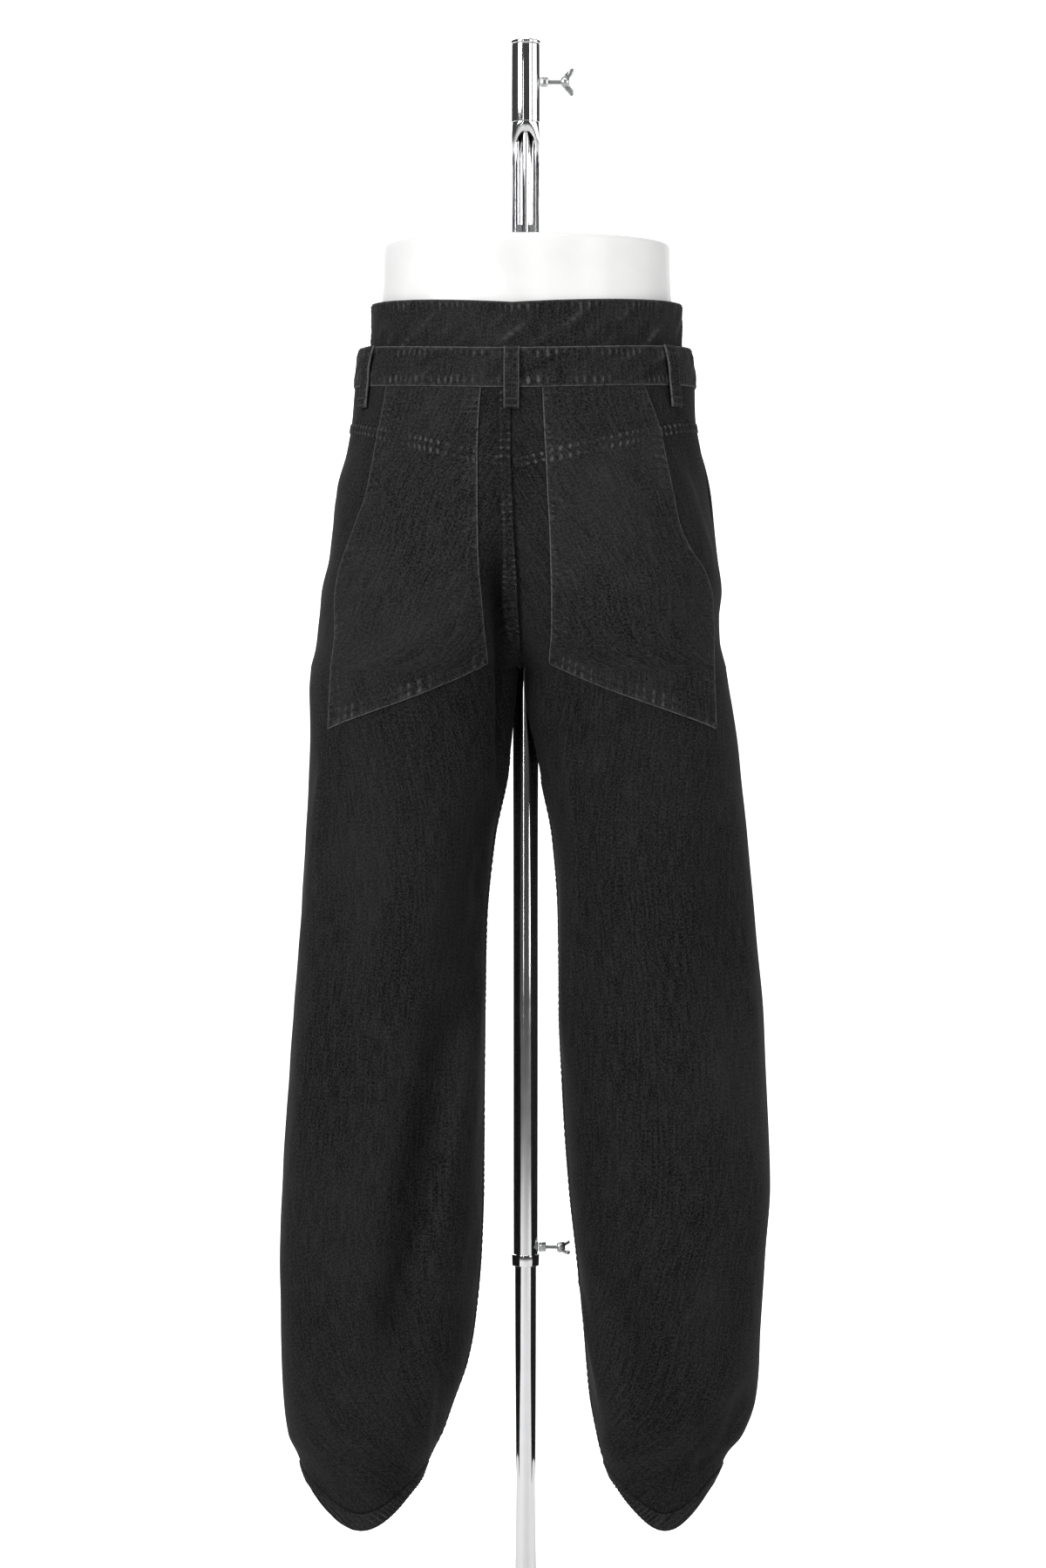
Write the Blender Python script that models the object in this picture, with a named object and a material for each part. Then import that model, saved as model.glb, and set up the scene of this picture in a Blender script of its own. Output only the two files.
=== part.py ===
"""Barrel-leg jeans with a doubled waistband, worn by a limbless hip form on a tube stand.

Metres, +Z up. The jeans face -Y and +X is the wearer's left.
The origin is on the floor, on the stand's axis.
The cloth is drawn as one smooth skin, found by a side, a share u of the way round that side and a height.
Share 0 is the centre front or the front of the inseam.
Share 1 is the centre back or the back of the inseam.
Every piece of cloth is a wall cut from that skin, or a patch laid on it.
"""

import math
from functools import lru_cache

import bmesh
import bpy
import numpy as np
from mathutils import Matrix, Vector

LEFT, RIGHT = 1, -1
SIDES = (("left", LEFT), ("right", RIGHT))

SEAM_GAP = 0.0003  # between two pieces that meet at a seam
CLOTH = 0.0016  # the leg panels and yokes
PATCH = 0.0012  # pockets and placket, laid on the panels
BAND = 0.0028  # the lower waistband: two layers and a stay
BAND_PROUD = 0.0013
UPPER_BAND_CLOTH = 0.0024
HEM = 0.0030  # a turned-up hem, three layers
HEM_HEIGHT = 0.016
HEM_PROUD = 0.0009  # how far the hem stands out of the panel above it

CENTRE_X = 0.0044  # the jeans sit a little to the left of the stand
SIDE_SEAM = 0.51  # share of the way from centre front to centre back
CROTCH = 0.932
POLE_ROOM = 0.0165  # the skin stays this far to each side of the stand's axis
POLE_ROOM_DEPTH = 0.030
BAND_SEAM_BACK = 1.182  # where the lower band meets the yoke, at centre back
BAND_SEAM_SIDE = 1.190
LOWER_BAND_HEIGHT = 0.0355
UPPER_BAND_TOP_BACK = 1.2586
UPPER_BAND_TOP_SIDE = 1.2662
UPPER_BAND_BENDS = (1.224, 1.211)  # where it turns outwards, towards the lower band
UPPER_BAND_FOOT = 1.201
YOKE_BACK = 1.119
YOKE_SIDE = 1.158
HEM_SIDE = 0.196
HEM_DROP_BACK = 0.036
HEM_DROP_FRONT = 0.030

# The skin above the crotch. Share is how far the fullest point stands from the centre plane
# towards the side: 0 is one plain oval, and 0.5 is two separate legs.
HIP_COLUMNS = ("height", "share", "out_left", "out_right", "front", "back", "turn")
HIPS = (
    (1.240, 0.03, 0.1490, 0.1480, 0.1010, 0.1030, 4.4),
    (1.207, 0.03, 0.1545, 0.1535, 0.1030, 0.1050, 4.4),
    (1.190, 0.03, 0.1562, 0.1552, 0.1050, 0.1060, 4.4),
    (1.164, 0.06, 0.1584, 0.1560, 0.1080, 0.1080, 4.4),
    (1.132, 0.10, 0.1636, 0.1608, 0.1120, 0.1110, 4.4),
    (1.100, 0.15, 0.1725, 0.1662, 0.1150, 0.1145, 4.0),
    (1.068, 0.20, 0.1760, 0.1706, 0.1165, 0.1180, 3.2),
    (1.036, 0.26, 0.1796, 0.1752, 0.1160, 0.1212, 2.4),
    (1.004, 0.335, 0.1862, 0.1792, 0.1130, 0.1225, 1.6),
    (0.980, 0.40, 0.1885, 0.1768, 0.1100, 0.1210, 1.2),
    (0.960, 0.442, 0.1905, 0.1775, 0.1070, 0.1182, 0.8),
    (0.945, 0.476, 0.1935, 0.1805, 0.1055, 0.1160, 0.4),
    (0.937, 0.492, 0.1955, 0.1825, 0.1045, 0.1148, 0.2),
    (CROTCH, 0.50, 0.1964, 0.1836, 0.1040, 0.1140, 0.0),
)

# The skin below the crotch, one ring for each leg.
LEG_COLUMNS = ("height", "in_left", "out_left", "in_right", "out_right", "front", "back")
LEGS = (
    (CROTCH, CENTRE_X + 0.0002, 0.1964, 0.0002 - CENTRE_X, 0.1836, 0.1040, 0.1140),
    (0.915, 0.0065, 0.1974, -0.0042, 0.1862, 0.1025, 0.1112),
    (0.895, 0.0094, 0.1970, -0.0020, 0.1896, 0.1005, 0.1078),
    (0.860, 0.0125, 0.1975, 0.0075, 0.1948, 0.0985, 0.1032),
    (0.828, 0.0176, 0.1985, 0.0150, 0.1978, 0.0972, 0.1002),
    (0.780, 0.0278, 0.2014, 0.0246, 0.2030, 0.0958, 0.0972),
    (0.700, 0.0358, 0.2058, 0.0304, 0.2104, 0.0948, 0.0938),
    (0.620, 0.0376, 0.2126, 0.0312, 0.2176, 0.0948, 0.0918),
    (0.540, 0.0382, 0.2180, 0.0344, 0.2212, 0.0948, 0.0908),
    (0.460, 0.0386, 0.2232, 0.0400, 0.2238, 0.0942, 0.0900),
    (0.396, 0.0410, 0.2248, 0.0470, 0.2192, 0.0932, 0.0892),
    (0.332, 0.0472, 0.2242, 0.0536, 0.2154, 0.0900, 0.0876),
    (0.300, 0.0536, 0.2232, 0.0560, 0.2140, 0.0865, 0.0862),
    (0.268, 0.0650, 0.2214, 0.0592, 0.2104, 0.0808, 0.0840),
    (0.236, 0.0768, 0.2172, 0.0652, 0.1990, 0.0728, 0.0795),
    (0.220, 0.0850, 0.2095, 0.0690, 0.1850, 0.0685, 0.0765),
    (0.204, 0.0918, 0.2032, 0.0742, 0.1768, 0.0640, 0.0730),
    (0.190, 0.0962, 0.1985, 0.0795, 0.1705, 0.0600, 0.0698),
    (0.155, 0.1020, 0.1925, 0.0865, 0.1635, 0.0545, 0.0640),
)

# The largest folds of the legs. Depth is outwards, so a trough is negative. Top and foot are heights.
FOLD_COLUMNS = ("side", "top", "foot", "share_top", "share_foot", "half_width", "depth")
FOLDS = (
    (LEFT, 0.720, 0.235, 0.880, 0.740, 0.026, -0.0075),
    (LEFT, 0.700, 0.280, 0.945, 0.850, 0.024, 0.0050),
    (LEFT, 0.860, 0.640, 0.930, 0.860, 0.030, -0.0060),
    (LEFT, 0.560, 0.240, 0.200, 0.300, 0.030, -0.0060),
    (RIGHT, 0.840, 0.560, 0.640, 0.655, 0.024, -0.0050),
    (RIGHT, 0.780, 0.560, 0.925, 0.955, 0.018, 0.0045),
    (RIGHT, 0.420, 0.210, 0.940, 0.830, 0.020, 0.0050),
    (RIGHT, 0.420, 0.210, 0.865, 0.775, 0.022, -0.0045),
    (RIGHT, 0.300, 0.190, 0.600, 0.640, 0.018, -0.0055),
    (RIGHT, 0.560, 0.240, 0.220, 0.310, 0.030, -0.0060),
)

# The back patch pocket: how far its edges stand from the stand's axis towards the side, at each height.
POCKET_COLUMNS = ("height", "inner_left", "outer_left", "inner_right", "outer_right")
POCKET = (
    (1.185, 0.0392, 0.1240, 0.0145, 0.1060),
    (1.150, 0.0418, 0.1295, 0.0160, 0.1180),
    (1.117, 0.0425, 0.1345, 0.0178, 0.1240),
    (1.090, 0.0425, 0.1398, 0.0190, 0.1293),
    (1.064, 0.0423, 0.1500, 0.0205, 0.1358),
    (1.040, 0.0418, 0.1600, 0.0215, 0.1475),
    (1.020, 0.0408, 0.1672, 0.0222, 0.1605),
    (0.996, 0.0383, 0.1705, 0.0228, 0.1678),
    (0.966, 0.0363, 0.1700, 0.0231, 0.1686),
    (0.9385, 0.0342, 0.1730, 0.0216, 0.1686),
    (0.879, 0.0342, 0.1765, 0.0216, 0.1700),
)
POCKET_FOOT_INNER = 0.9385
POCKET_FOOT_OUTER = 0.8790
POCKET_OPENING_FOOT = 1.020
POCKET_GAPE = 0.0030  # how far the open edge stands away from the seat

FRONT_POCKET_FOOT = 1.030
FRONT_POCKET_WIDTH = 0.052  # from the side seam to the slanted edge, at the band
FRONT_POCKET_GAPE = 0.0040
GAPE_WIDTH = 0.035  # how far in from the slanted edge the panel stands away
FACING_UNDERLAP = 0.018
FACING_DEPTH = 0.0038
FLY_WIDTH = 0.038
FLY_CORNER = 0.040  # the height of the round lower corner
FLY_FOOT_SHARE = 0.4  # the placket's width at its foot, as a share of the full width

LOOP_WIDTH = 0.0135
LOOP_THICKNESS = 0.0020
LOOP_FOOT = 1.1625
LOOP_PLACES = (  # top's and foot's distance from the centre back along the cloth, minus to the right
    ("back", 0.0, 0.0),
    ("back_left", 0.1440, 0.1530),
    ("back_right", -0.1515, -0.1605),
    ("front_left", 0.315, 0.317),
    ("front_right", -0.315, -0.318),
)
LOOP_STANDS = (  # how far a loop's inner face stands off the skin, from its top fold to its foot
    (BAND_SEAM_BACK + LOWER_BAND_HEIGHT + 0.0010, 0.0021),
    (BAND_SEAM_BACK + LOWER_BAND_HEIGHT - 0.0070, 0.0034),
    (BAND_SEAM_BACK + 0.0180, 0.0042),
    (BAND_SEAM_BACK + 0.0040, 0.0032),
    (BAND_SEAM_BACK - 0.0060, 0.0030),
    (LOOP_FOOT, 0.0026),
)

LOWER_BUTTON_HEIGHT = 1.208
UPPER_BUTTON_HEIGHT = 1.241
BUTTON_SHARE = 0.03

# The form, its sections from top to bottom.
FORM_COLUMNS = ("height", "share", "out_left", "out_right", "front", "back", "turn")
FORM = (
    (1.330, 0.0, 0.1318, 0.1318, 0.0880, 0.0930, 0.0),
    (1.290, 0.0, 0.1325, 0.1325, 0.0890, 0.0940, 0.0),
    (1.258, 0.0, 0.1342, 0.1342, 0.0900, 0.0955, 0.0),
    (1.220, 0.0, 0.1372, 0.1372, 0.0908, 0.0955, 0.0),
    (1.180, 0.0, 0.1420, 0.1420, 0.0922, 0.0980, 0.0),
    (1.120, 0.0, 0.1500, 0.1500, 0.0990, 0.1030, 0.0),
    (1.060, 0.0, 0.1560, 0.1560, 0.1035, 0.1050, 0.0),
    (1.020, 0.0, 0.1560, 0.1560, 0.0960, 0.1000, 0.0),
    (0.995, 0.0, 0.1460, 0.1460, 0.0850, 0.0900, 0.0),
    (0.975, 0.0, 0.1240, 0.1240, 0.0700, 0.0750, 0.0),
    (0.963, 0.0, 0.0950, 0.0950, 0.0520, 0.0560, 0.0),
    (0.957, 0.0, 0.0600, 0.0600, 0.0320, 0.0340, 0.0),
)

# The upper band's sections, in the form's columns.
UPPER_BAND = (
    (1.270, 0.0, 0.1418, 0.1438, 0.0985, 0.0987, 4.4),
    (1.240, 0.0, 0.1412, 0.1434, 0.0985, 0.0987, 4.4),
    (1.222, 0.0, 0.1412, 0.1430, 0.0990, 0.0992, 4.4),
    (1.210, 0.0, 0.1460, 0.1455, 0.0995, 0.1008, 4.4),
    (1.201, 0.0, 0.1529, 0.1519, 0.1006, 0.1024, 4.4),
)

# The stand.
FORM_TOP = 1.322
BASE_RADIUS = 0.160
OUTER_POLE = 0.0116
OUTER_POLE_BORE = 0.0106
INNER_POLE = 0.0103
OUTER_POLE_TOP = 1.050
INNER_POLE_TOP = 0.700
COLLAR = 0.0131
COLLAR_FOOT = 0.388
COLLAR_TOP = 0.3985
BEVEL = 0.0006
LOW_SCREW_HEIGHT = 0.4044
POST = 0.0126
POST_BORE = 0.0116
SCOOP_TOP = 1.4250
SCOOP_HEIGHT = 0.055
SCOOP_WIDTH = 0.0138
ROD = 0.0031
ROD_Y = 0.0060
CLIP_HEIGHT = 0.0175
SLEEVE = 0.0135
SLEEVE_FOOT = 1.4340
SLEEVE_TOP = 1.5054
CAP = 0.0141
CAP_HEIGHT = 0.0036
TOP_SCREW_HEIGHT = 1.4714

DENIM = ((0.030, 0.030, 0.031), 0.92, 0.0)
DENIM_INSIDE = ((0.045, 0.046, 0.048), 0.92, 0.0)
METAL_BUTTON = ((0.20, 0.20, 0.20), 0.35, 1.0)
CHROME = ((0.86, 0.86, 0.87), 0.08, 1.0)
ZINC = ((0.58, 0.60, 0.60), 0.35, 1.0)
WHITE_FORM = ((0.86, 0.86, 0.85), 0.45, 0.0)


# Smooth curves through short tables

def slopes_of(x, y):
    """Slopes at the table's rows that let a cubic pass through them without overshooting."""
    steps = np.diff(y) / np.diff(x)
    inside = np.where(steps[:-1] * steps[1:] > 0, 2 / (1 / np.where(steps[:-1] == 0, 1, steps[:-1])
                      + 1 / np.where(steps[1:] == 0, 1, steps[1:])), 0.0)
    return np.concatenate([[steps[0]], inside, [steps[-1]]])


def curve(rows):
    """A smooth function through (place, value) rows, held level beyond its ends."""
    x, y = (np.array(column, float) for column in zip(*sorted(rows)))
    slope = slopes_of(x, y)

    def value(at):
        at = min(max(at, x[0]), x[-1])
        k = min(max(int(np.searchsorted(x, at)) - 1, 0), len(x) - 2)
        width = x[k + 1] - x[k]
        t = (at - x[k]) / width
        return float(
            (1 + 2 * t) * (1 - t) ** 2 * y[k] + t * (1 - t) ** 2 * width * slope[k]
            + t * t * (3 - 2 * t) * y[k + 1] + t * t * (t - 1) * width * slope[k + 1]
        )

    return value


def columns(names, table):
    """Each named column of a table as a smooth function of the table's first column."""
    place = {name: k for k, name in enumerate(names)}
    return {name: curve([(row[0], row[k]) for row in table]) for name, k in place.items()}


def ramp(t):
    """0 at 0 and below, 1 at 1 and above, level at both ends."""
    t = min(max(t, 0.0), 1.0)
    return t * t * (3 - 2 * t)


# The skin

HIP, LEG = columns(HIP_COLUMNS, HIPS), columns(LEG_COLUMNS, LEGS)
BODY = {name: curve([(row[0], row[k]) for row in HIPS] + [(row[0], row[j]) for row in LEGS[1:]])
        for name, k, j in (("out_left", 2, 2), ("out_right", 3, 4), ("front", 4, 5), ("back", 5, 6))}


class Oval:
    """One side's section at one height: an arc of an ellipse that starts and ends on the centre plane."""

    def __init__(self, side, inner, outer, front, back, turn, closed, centre=CENTRE_X):
        self.side, self.centre = side, centre
        self.x, self.a = (outer + inner) / 2, (outer - inner) / 2
        self.y, self.b = (back - front) / 2, (back + front) / 2
        self.start, self.end = -math.pi, math.pi
        if not closed:
            self.start, self.end = -self.limit(turn, -1), self.limit(turn, 1)

    def limit(self, turn, way):
        """The angle at which the arc meets the centre plane, at the back (way 1) or the front (way -1)."""
        lean, past = math.tan(math.radians(turn)) * self.side, 0.0
        for _ in range(6):
            plane = self.centre * self.side + (self.y + way * self.b * math.cos(past)) * lean
            past = math.asin(max(-1.0, min(1.0, (self.x - plane) / self.a)))
        return math.pi / 2 + past

    def angle(self, u):
        return self.start + (self.end - self.start) * u

    def point(self, u, out=0.0):
        angle = self.angle(u)
        across, along = math.cos(angle), math.sin(angle)
        normal = Vector((across / self.a, along / self.b)).normalized()
        x = self.x + self.a * across + normal.x * out
        return x * self.side, self.y + self.b * along + normal.y * out

    def share_at(self, x):
        """The share at which the back of the arc stands this far out to its side."""
        angle = math.acos(max(-1.0, min(1.0, (x - self.x) / self.a)))
        return (angle - self.start) / (self.end - self.start)

    def length(self):
        return (self.a + self.b) / 2 * (self.end - self.start)


@lru_cache(maxsize=None)
def body_oval(side, height):
    """The jeans' section: a leg's whole ring below the crotch, half of the hips above it."""
    name = "left" if side == LEFT else "right"
    outer, front, back = BODY["out_" + name](height), BODY["front"](height), BODY["back"](height)
    if height <= CROTCH:
        return Oval(side, LEG["in_" + name](height), outer, front, back, 0.0, True)
    plane = CENTRE_X * side
    middle = plane + HIP["share"](height) * (outer - plane)
    return Oval(side, 2 * middle - outer, outer, front, back, HIP["turn"](height), False)


def oval_of(table, centre):
    """The sections of the form or of the upper band, from their own table, as half ovals."""
    shape = columns(FORM_COLUMNS, table)

    @lru_cache(maxsize=None)
    def oval(side, height):
        outer = shape["out_left" if side == LEFT else "out_right"](height)
        plane = centre * side
        middle = plane + shape["share"](height) * (outer - plane)
        depths = shape["front"](height), shape["back"](height)
        return Oval(side, 2 * middle - outer, outer, *depths, shape["turn"](height), False, centre)

    return oval


def fold_relief(side, u, height):
    """How far the folds move the skin outwards here."""
    total = 0.0
    for where, top, foot, share_top, share_foot, half_width, depth in FOLDS:
        if where != side or not foot < height < top:
            continue
        down = (top - height) / (top - foot)
        middle = share_top + (share_foot - share_top) * down
        away = (u - middle) * body_oval(side, height).length() / half_width
        total += depth * math.exp(-away * away) * ramp(down / 0.3) * ramp((1 - down) / 0.3)
    return total


def body_point(side, u, height):
    """The skin itself. The inner thighs and the seams of the crotch part round the pole."""
    x, y = body_oval(side, height).point(u, fold_relief(side, u, height))
    room = POLE_ROOM * (1 - (y / POLE_ROOM_DEPTH) ** 2)
    return Vector((max(x * side, room) * side, y, height))


def offset_point(point, side, u, height, out):
    """The point of a surface, moved out along the surface's own normal."""
    du, dz = 0.004, 0.0015
    low_u, high_u = max(u - du, 0.0), min(u + du, 1.0)
    low, high = height - dz, height + dz
    if low < CROTCH < high:
        low, high = (low, CROTCH - 1e-6) if height < CROTCH else (CROTCH + 1e-6, high)
    round_way = point(side, high_u, height) - point(side, low_u, height)
    up = point(side, u, high) - point(side, u, low)
    normal = round_way.cross(up).normalized() * side
    return point(side, u, height) + normal * out


def skin(side, u, height, out=0.0):
    """A point of the jeans' skin, moved out by this much along the skin's normal."""
    return offset_point(body_point, side, u, height, out)


@lru_cache(maxsize=None)
def spread_of(side, height):
    """Shares from the centre back forwards, and their distances along the cloth."""
    shares = np.linspace(1.0, 0.0, 121)
    places = np.array([body_oval(side, height).point(u) for u in shares])
    steps = np.hypot(*np.diff(places, axis=0).T)
    return shares, np.concatenate([[0.0], np.cumsum(steps)])


def share_from_back(side, height, distance):
    shares, distances = spread_of(side, height)
    return float(np.interp(distance, distances, shares))


def share_from_front(side, height, distance):
    shares, distances = spread_of(side, height)
    return float(np.interp(distances[-1] - distance, distances, shares))


# Seam lines, each a height that depends on the share

def back_to_side(u):
    """0 at the centre back, 1 at the side seam and beyond it."""
    return ramp((1 - u) / (1 - SIDE_SEAM))


def band_seam(u):
    return BAND_SEAM_BACK + (BAND_SEAM_SIDE - BAND_SEAM_BACK) * back_to_side(u)


def yoke_seam(u):
    away = min((1 - u) / (1 - SIDE_SEAM), 1.0)
    return YOKE_BACK + (YOKE_SIDE - YOKE_BACK) * math.sin(away * math.pi / 2) ** 1.1


def hem_edge(u):
    """The hem hangs lowest at the middle of the back and of the front."""
    swing = math.sin(2 * math.pi * (u - 0.5))
    return HEM_SIDE - (HEM_DROP_BACK if u > 0.5 else HEM_DROP_FRONT) * swing * swing


# Solids

def material_of(name, look):
    colour, roughness, metallic = look
    material = bpy.data.materials.get(name) or bpy.data.materials.new(name)
    material.use_nodes = True
    shader = material.node_tree.nodes["Principled BSDF"]
    shader.inputs["Base Color"].default_value = (*colour, 1)
    shader.inputs["Roughness"].default_value = roughness
    shader.inputs["Metallic"].default_value = metallic
    material.diffuse_color = (*colour, 1)
    return material


def add_object(name, mesh, look):
    """Turns a bmesh into a named object with its material."""
    bmesh.ops.recalc_face_normals(mesh, faces=mesh.faces)
    data = bpy.data.meshes.new(name)
    mesh.to_mesh(data)
    mesh.free()
    data.materials.append(material_of(look[0], look[1]))
    data.shade_smooth()
    data.set_sharp_from_angle(angle=math.radians(40))
    piece = bpy.data.objects.new(name, data)
    bpy.context.scene.collection.objects.link(piece)
    return piece


def wall(name, outer, inner, look, closed=False):
    """A sheet with thickness between two grids of points. Closed joins the rows' ends."""
    mesh = bmesh.new()
    faces = [[[mesh.verts.new(p) for p in row] for row in grid] for grid in (outer, inner)]
    rows, count = len(outer), len(outer[0])
    spans = [(c, (c + 1) % count) for c in range(count if closed else count - 1)]
    for grid in faces:
        for upper, lower in zip(grid, grid[1:]):
            for c, d in spans:
                mesh.faces.new((upper[c], upper[d], lower[d], lower[c]))
    for r in (0, rows - 1):
        for c, d in spans:
            mesh.faces.new((faces[0][r][c], faces[0][r][d], faces[1][r][d], faces[1][r][c]))
    for c in () if closed else (0, count - 1):
        for r in range(rows - 1):
            mesh.faces.new((faces[0][r][c], faces[0][r + 1][c], faces[1][r + 1][c], faces[1][r][c]))
    return add_object(name, mesh, look)


def stacked(name, rings, look, loop=False):
    """A solid through rings of points: capped at both ends, or a loop whose last ring joins its first."""
    mesh = bmesh.new()
    made = [[mesh.verts.new(p) for p in ring] for ring in rings]
    pairs = list(zip(made, made[1:])) + ([(made[-1], made[0])] if loop else [])
    for first, second in pairs:
        for c in range(len(first)):
            d = (c + 1) % len(first)
            mesh.faces.new((first[c], first[d], second[d], second[c]))
    if not loop:
        mesh.faces.new(made[0])
        mesh.faces.new(made[-1])
    return add_object(name, mesh, look)


def turned(name, profile, look, segments=28, loop=False, place=None):
    """A solid of revolution about Z from (radius, height) rows, moved to its place by a matrix."""
    rings = [[Vector((radius * math.cos(a), radius * math.sin(a), height))
              for a in (2 * math.pi * k / segments for k in range(segments))]
             for radius, height in profile]
    piece = stacked(name, rings, look, loop)
    if place is not None:
        piece.data.transform(place)
    return piece


def cut(piece, cutter):
    """Takes the cutter's shape out of the piece, and hides the cutter."""
    modifier = piece.modifiers.new("cut", "BOOLEAN")
    modifier.operation, modifier.solver, modifier.object = "DIFFERENCE", "EXACT", cutter
    cutter.hide_render, cutter.display_type = True, "WIRE"


def joined(piece, other):
    """Makes the other piece one body with this one, and hides it."""
    modifier = piece.modifiers.new("join", "BOOLEAN")
    modifier.operation, modifier.solver, modifier.object = "UNION", "EXACT", other
    other.hide_render, other.display_type = True, "WIRE"


BLACK = ("washed_black_denim", DENIM)
INSIDE = ("denim_inside", DENIM_INSIDE)


# The jeans

PANEL_LEVELS = (
    1.180, 1.160, 1.135, 1.108, 1.080, 1.052, 1.026, 1.003, 0.984, 0.968, 0.955, 0.945, 0.937,
    CROTCH - 0.0005,
    0.922, 0.910, 0.892, 0.864, 0.830, 0.790, 0.745, 0.700, 0.652, 0.604, 0.556, 0.508, 0.460,
    0.415, 0.375, 0.340, 0.306, 0.276, 0.250, 0.228, 0.212,
)
BACK_LEVELS = PANEL_LEVELS[2:]
FLY_FOOT = 1.026
POCKET_FOOT_LEVEL = 0.910
BLEND = 0.110  # how far from a seam the rows of points take to become level
BACK_EVENS_OVER = 0.25  # below the pocket, the height in which a row's points become evenly spaced
FRONT_EVENS_OVER = 0.10
BACK_COLUMNS = (3, 7, 2)  # side seam to pocket, across the pocket, pocket to centre back
FRONT_COLUMNS = (2, 9)  # across the fly, fly to side seam


def inset(side, height):
    """Half a seam gap as a share of the way round."""
    return SEAM_GAP / 2 / body_oval(side, height).length()


def spread_shares(side, height, knots, counts, evenness):
    """Shares of a row's points: equal steps between the knots, or nearer to one step for the whole row."""
    shares = [knots[0]]
    for start, end, count in zip(knots, knots[1:], counts):
        shares += [start + (end - start) * k / count for k in range(1, count + 1)]
    total, gap = len(shares) - 1, inset(side, height)
    first, last = knots[0], knots[-1]
    even = [first + (last - first) * k / total for k in range(total + 1)]
    mixed = [share + (same - share) * evenness for share, same in zip(shares, even)]
    return [mixed[0] + gap] + mixed[1:-1] + [mixed[-1] - gap]


POCKET_OUTLINE = columns(POCKET_COLUMNS, POCKET)


def back_shares(side, height):
    """The back's points at a height. Two of them run along the pocket's edges."""
    name, level = "left" if side == LEFT else "right", max(height, POCKET_FOOT_OUTER)
    oval = body_oval(side, level)
    edges = [oval.share_at(POCKET_OUTLINE[f"{edge}_{name}"](level)) for edge in ("outer", "inner")]
    evenness = ramp((POCKET_FOOT_OUTER - height) / BACK_EVENS_OVER)
    return spread_shares(side, height, (SIDE_SEAM, *edges, 1.0), BACK_COLUMNS, evenness)


def slant(side, height):
    """The front pocket's slanted edge, as a share; the side seam below the pocket."""
    up = (height - FRONT_POCKET_FOOT) / (BAND_SEAM_SIDE - FRONT_POCKET_FOOT)
    width = FRONT_POCKET_WIDTH * min(max(up, 0.0), 1.05)
    return SIDE_SEAM - width / body_oval(side, height).length()


def front_shares(side, height):
    """The front's points at a height. One of them runs along the fly's edge."""
    up = min(max((height - FLY_FOOT) / FLY_CORNER, 0.0), 1.0)
    width = FLY_WIDTH * (FLY_FOOT_SHARE + (1 - FLY_FOOT_SHARE) * math.sqrt(1 - (1 - up) ** 2))
    knots = (0.0, share_from_front(side, height, width), slant(side, height))
    return spread_shares(side, height, knots, FRONT_COLUMNS, ramp((FLY_FOOT - height) / FRONT_EVENS_OVER))


def pocket_foot_tilt(column, level):
    """The back's rows dip towards the side near the pocket's foot, so that one of them runs along it."""
    first, across, rest = BACK_COLUMNS
    outer, inner = POCKET_FOOT_OUTER - POCKET_FOOT_LEVEL, POCKET_FOOT_INNER - POCKET_FOOT_LEVEL
    if column <= first:
        rise = outer * column / first
    elif column <= first + across:
        rise = outer + (inner - outer) * (column - first) / across
    else:
        rise = inner * (first + across + rest - column) / rest
    return rise * ramp(1 - abs(level - POCKET_FOOT_LEVEL) / BLEND)


def rows_between(side, levels, shares_of, top_of, foot_of, tilt=None):
    """Rows of (share, height): along the seam lines at the panel's ends, and level between them."""
    rows = []
    for level in levels:
        near_top = ramp(1 - (levels[0] - level) / BLEND)
        near_foot = ramp(1 - (level - levels[-1]) / BLEND)
        row = []
        for c, u in enumerate(shares_of(side, level)):
            height = level + (top_of(u) - SEAM_GAP / 2 - levels[0]) * near_top
            height += (foot_of(u) + SEAM_GAP / 2 - levels[-1]) * near_foot
            height += tilt(c, level) if tilt else 0.0
            row.append((shares_of(side, height)[c], height))
        rows.append(row)
    return rows


def cloth_wall(name, side, rows, outs, look=BLACK, bulge=None, closed=False):
    """A wall on the skin, between two distances from it. Bulge adds to them."""
    grids = []
    for out in outs:
        grid = []
        for row in rows:
            added = [bulge(c, u, height) if bulge else 0.0 for c, (u, height) in enumerate(row)]
            grid.append([skin(side, u, height, out + more) for (u, height), more in zip(row, added)])
        grids.append(grid)
    return wall(name, *grids, look, closed)


def hem_top(u):
    return hem_edge(u) + HEM_HEIGHT


@lru_cache(maxsize=None)
def back_rows(side):
    return rows_between(side, BACK_LEVELS, back_shares, yoke_seam, hem_top, pocket_foot_tilt)


@lru_cache(maxsize=None)
def yoke_rows(side):
    rows = []
    for down in (0.0, 0.5, 1.0):
        row = []
        for c, u in enumerate(back_shares(side, BAND_SEAM_BACK)):
            for _ in range(3):
                top, foot = band_seam(u) - SEAM_GAP / 2, yoke_seam(u) + SEAM_GAP / 2
                height = top + (foot - top) * down
                u = back_shares(side, height)[c]
            row.append((u, height))
        rows.append(row)
    return rows


def front_gape(side):
    def bulge(column, u, height):
        up = (height - FRONT_POCKET_FOOT) / (BAND_SEAM_SIDE - FRONT_POCKET_FOOT)
        if not 0 < up < 1:
            return 0.0
        away = (slant(side, height) - u) * body_oval(side, height).length()
        return FRONT_POCKET_GAPE * math.sin(math.pi * up) ** 2 * ramp(1 - away / GAPE_WIDTH)

    return bulge


@lru_cache(maxsize=None)
def front_rows(side):
    return rows_between(side, PANEL_LEVELS, front_shares, band_seam, hem_top)


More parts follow.
